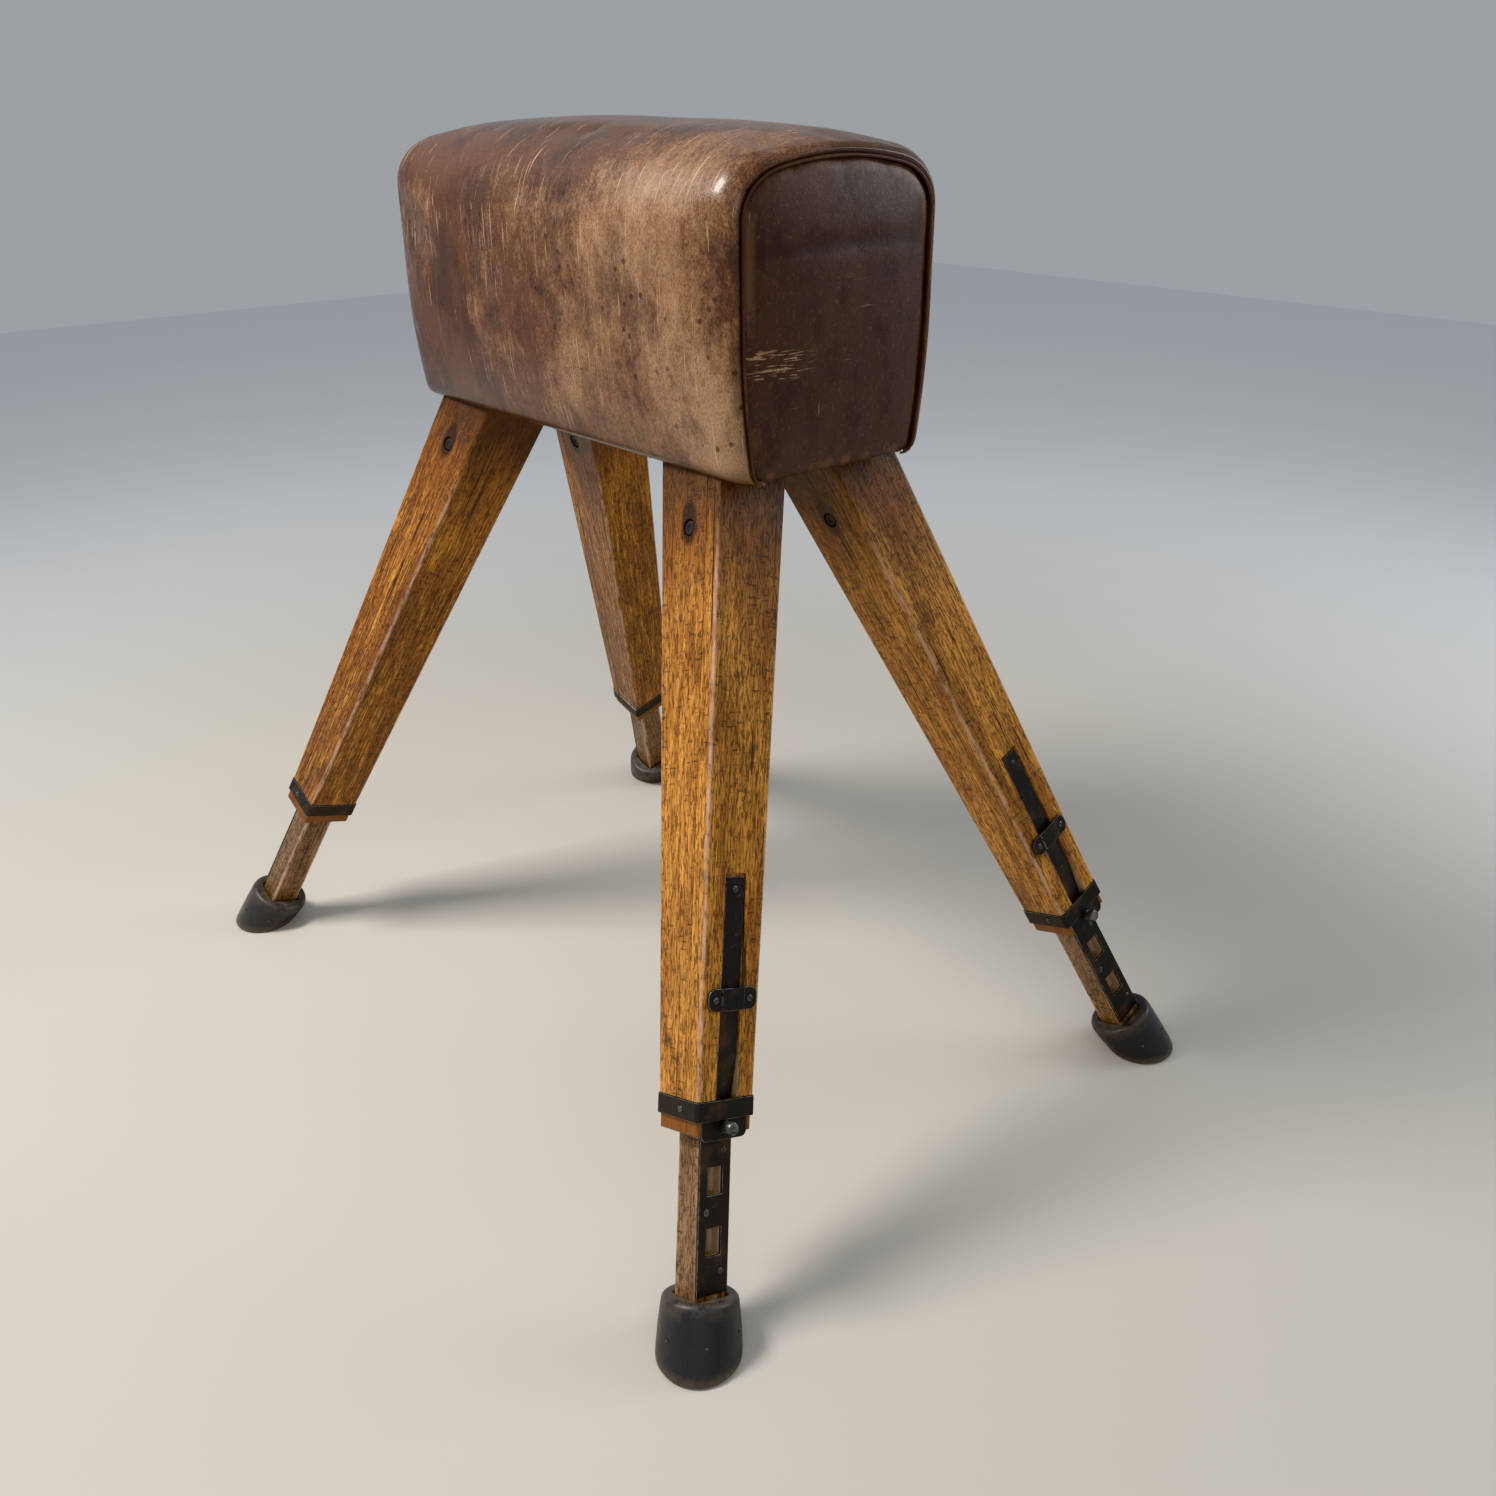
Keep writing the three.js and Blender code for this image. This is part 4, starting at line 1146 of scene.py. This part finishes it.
class BUCK_OT_screws(bpy.types.Operator):
    """Slotted screws in the keepers, leaf springs, ferrules and rack plates"""

    bl_idname = "buck.screws"
    bl_label = "Screws"

    def execute(self, context):
        screw = self.screw()
        face = face_frame()
        for corner in CORNERS:
            fixed = [face @ self.at(0.0034, side * 0.0222, KEEPER_UP, turn)
                     for side, turn in ((-1, 0.5), (1, -0.7))]
            band = leg_half(HALF_ACROSS, FERRULE_UP) + 0.0012
            for side, turn in ((-1, 0.2), (1, 1.1)):
                fixed.append(Matrix.Translation((0.006, side * band, FERRULE_UP))
                             @ Matrix.Rotation(side * math.pi / 2, 4, "Z") @ Matrix.Rotation(turn, 4, "X"))
            self.place(screw, corner, "fixed_screws", "frame", fixed)
            leaf = [Matrix.Translation((0.0378, 0.0, LEAF_SCREW_UP)) @ Matrix.Rotation(0.9, 4, "X")]
            self.place(screw, corner, "leaf_screw", f"{corner}_latch", leaf)
            rack = [self.at(0.0185, side, RACK_SCREW_UP + RACK_PITCH * k, 0.4 * k)
                    for k, side in zip(range(-1, 7), (0.010, -0.010) * 4)]
            self.place(screw, corner, "rack_screws", f"{corner}_foot", rack)
        bpy.data.objects.remove(screw)
        return {"FINISHED"}

    def at(self, out, across, up, turn):
        """A place on the leg, turned about the way out of it."""
        return Matrix.Translation((out, across, up)) @ Matrix.Rotation(turn, 4, "X")

    def screw(self):
        """A round head with its slot cut across."""
        obj = turned("screw_model", [
            (0.0012, -0.0008), (0.0034, -0.0008), (0.0035, 0.0001), (0.0031, 0.0005), (0.0018, 0.0008),
            (0.0008, 0.0009)], 16)
        cut_away(obj, boxed("slot_tool", (0.0001, -0.0045, -0.00045), (0.003, 0.0045, 0.00045)))
        return obj

    def place(self, screw, corner, name, body, places):
        """One object of screws at several places on a leg."""
        twins = [copy_to(screw, f"{corner}_{name}_{k}", LEGS[corner] @ place) for k, place in enumerate(places)]
        obj = joined(f"{corner}_{name}", twins)
        mark_rubbed(obj, 0.5)
        settle(obj, body, finish_named("worn_steel"))


class BUCK_OT_hooves(bpy.types.Operator):
    """Oblique hooves with a square socket for the inner leg"""

    bl_idname = "buck.hooves"
    bl_label = "Hooves"

    def execute(self, context):
        for corner in CORNERS:
            self.hoof(corner)
        return {"FINISHED"}

    def nails(self, corner, low, high, count=6):
        """Small round nail heads half way up the hoof."""
        head = turned("nail_model", [(0.0008, -0.0020), (0.0019, -0.0006), (0.0019, 0.0001),
                                     (0.0010, 0.0006)], 10)
        middle = sum(low, Vector()) / len(low)
        twins = []
        for number in range(count):
            spot = int((number + 0.5) * len(low) / count)
            place = low[spot].lerp(high[spot], 0.52)
            out = (low[spot] - middle).normalized()
            turn = Vector((1.0, 0.0, 0.0)).rotation_difference(out).to_matrix().to_4x4()
            twins.append(copy_to(head, f"nail_{number}", Matrix.Translation(place + out * 0.0009) @ turn))
        bpy.data.objects.remove(head)
        obj = joined(f"{corner}_hoof_nails", twins)
        mark_rubbed(obj, 0.5)
        settle(obj, f"{corner}_foot", finish_named("black_iron"))

    def hoof(self, corner, sides=48):
        """A flat round sole on the floor that rises to a rim square to the leg."""
        place = LEGS[corner]
        foot = place.translation.copy()
        outward = Vector((foot.x, foot.y, 0.0)).normalized() * 0.004
        out = place.to_3x3() @ Vector((1.0, 0.0, 0.0))
        out = Vector((out.x, out.y, 0.0)).normalized()
        side = Vector((0.0, 0.0, 1.0)).cross(out)
        angles = [2 * math.pi * k / sides for k in range(sides)]

        def sole(radius, height):
            return [Vector((*(foot + outward).xy, height)) + out * radius * math.cos(angle)
                    + side * radius * math.sin(angle) for angle in angles]

        def rim(radius, up):
            return [place @ Vector((radius * math.cos(angle), radius * math.sin(angle), up))
                    for angle in angles]

        def socket(half, up, corner_power=0.16):
            ring = []
            for angle in angles:
                x, y = math.cos(angle), math.sin(angle)
                power = 2 / corner_power
                size = (abs(x) ** power + abs(y) ** power) ** (-1 / power)
                ring.append(place @ Vector((x * size * half, y * size * half, up)))
            return ring

        def between(first, second, part, bulge=0.0):
            middle = sum(second, Vector()) / sides
            return [a.lerp(b, part) + (a.lerp(b, part) - middle).normalized() * bulge
                    for a, b in zip(first, second)]

        low, high = sole(0.0447, 0.0042), rim(0.0405, 0.0505)
        rings = [sole(0.012, 0.0), sole(0.0385, 0.0), sole(0.0425, 0.0008), sole(0.0440, 0.0020), low]
        rings += [between(low, high, part, 0.0009 * math.sin(math.pi * part))
                  for part in (0.15, 0.35, 0.6, 0.85)]
        rings += [high]
        rings += [rim(0.0345 + 0.006 * math.cos(angle), 0.0515 + 0.006 * math.sin(angle))
                  for angle in (0.35, 0.8, 1.2, 1.5)]
        rings += [socket(0.0245, 0.0577), socket(0.0226, 0.0574), socket(0.0209, 0.0560), socket(0.0205, 0.045),
                  socket(0.0205, 0.0218)]
        obj = ring_stack(f"{corner}_hoof_shoe", rings)
        self.nails(corner, low, high)
        modify(obj, "SUBSURF", levels=1, render_levels=1)
        inverse = place.inverted()
        worn = []
        for vert in obj.data.vertices:
            local = inverse @ vert.co
            spread = math.hypot(local.x, local.y)
            shoulder = math.exp(-((spread - 0.038) / 0.004) ** 2) * float(local.z > 0.045)
            lip = float(local.z > 0.05) * math.exp(-((spread - 0.026) / 0.006) ** 2)
            worn.append(min(1.0, 0.45 * shoulder + lip))
        set_numbers(obj, "worn", worn)
        settle(obj, f"{corner}_foot", finish_named("hoof_rubber"), (f"{corner}_hoof",), 60)


class BUCK_OT_stage(bpy.types.Operator):
    """Floor, soft lights and camera"""

    bl_idname = "buck.stage"
    bl_label = "Stage"

    def execute(self, context):
        look = context.scene.buck_stage
        floor = add("plane", "floor", size=look.floor_size, location=(0.0, 0.0, -0.0003))
        floor.data.materials.append(finish_named("pale_floor"))
        world = bpy.data.worlds.new("pale_room")
        world.use_nodes = True
        sky = world.node_tree.nodes["Background"]
        sky.inputs["Color"].default_value = (0.80, 0.85, 0.90, 1.0)
        sky.inputs["Strength"].default_value = look.room_light
        context.scene.world = world
        self.lamp("key", (-0.65, -1.35, 2.45), 0.75, 62.0, (1.0, 0.96, 0.90))
        self.lamp("fill", (2.4, -1.6, 1.9), 1.8, 10.0, (0.90, 0.95, 1.0))
        self.lamp("back", (1.5, 2.4, 1.8), 1.4, 22.0, (0.88, 0.94, 1.0))
        context.scene.view_settings.view_transform = "Khronos PBR Neutral"
        self.camera(context, look)
        return {"FINISHED"}

    def lamp(self, name, place, size, power, tone):
        """A square soft lamp aimed at the middle of the object."""
        light = bpy.data.lights.new(name, "AREA")
        light.size = size
        light.energy = power
        light.color = tone
        obj = bpy.data.objects.new(name, light)
        obj.location = place
        aim = Vector((0.0, 0.0, 0.75)) - Vector(place)
        obj.rotation_euler = aim.to_track_quat("-Z", "Y").to_euler()
        bpy.context.collection.objects.link(obj)

    def camera(self, context, look):
        """The camera, level but for its own small roll."""
        lens = bpy.data.cameras.new("camera")
        lens.lens = look.lens
        lens.sensor_width = 36.0
        lens.clip_end = 60.0
        obj = bpy.data.objects.new("camera", lens)
        obj.location = look.camera_place
        turn = Matrix.Rotation(look.heading, 3, "Z")
        tilt = Matrix.Rotation(math.pi / 2 - look.tilt, 3, "X")
        roll = Matrix.Rotation(look.roll, 3, "Z")
        obj.rotation_euler = (turn @ tilt @ roll).to_euler()
        context.collection.objects.link(obj)
        context.scene.camera = obj


class BUCK_PT_panel(bpy.types.Panel):
    """Sizes, colours and steps of the vaulting buck"""

    bl_idname = "BUCK_PT_panel"
    bl_label = "Vaulting buck"
    bl_space_type = "VIEW_3D"
    bl_region_type = "UI"
    bl_category = "Buck"

    def draw(self, context):
        for settings in (context.scene.buck_hide, context.scene.buck_timber, context.scene.buck_iron,
                         context.scene.buck_stage):
            box = self.layout.box()
            for key in settings.bl_rna.properties.keys():
                if key not in ("rna_type", "name"):
                    box.prop(settings, key)
        for step in STEPS:
            self.layout.operator(step.bl_idname)


SETTINGS = {"buck_hide": HideSettings, "buck_timber": TimberSettings, "buck_iron": IronSettings,
            "buck_stage": StageSettings}
STEPS = (BUCK_OT_stage, BUCK_OT_wrap, BUCK_OT_end_panels, BUCK_OT_piping, BUCK_OT_tacks, BUCK_OT_core,
         BUCK_OT_timber, BUCK_OT_plates, BUCK_OT_turned, BUCK_OT_screws, BUCK_OT_hooves)


def register():
    for name, group in SETTINGS.items():
        bpy.utils.register_class(group)
        setattr(bpy.types.Scene, name, PointerProperty(type=group))
    for step in (*STEPS, BUCK_PT_panel):
        bpy.utils.register_class(step)


def unregister():
    for step in (BUCK_PT_panel, *STEPS[::-1]):
        bpy.utils.unregister_class(step)
    for name, group in SETTINGS.items():
        delattr(bpy.types.Scene, name)
        bpy.utils.unregister_class(group)


def main():
    register()
    for step in STEPS:
        group, name = step.bl_idname.split(".")
        getattr(getattr(bpy.ops, group), name)()


if __name__ == "__main__":
    main()
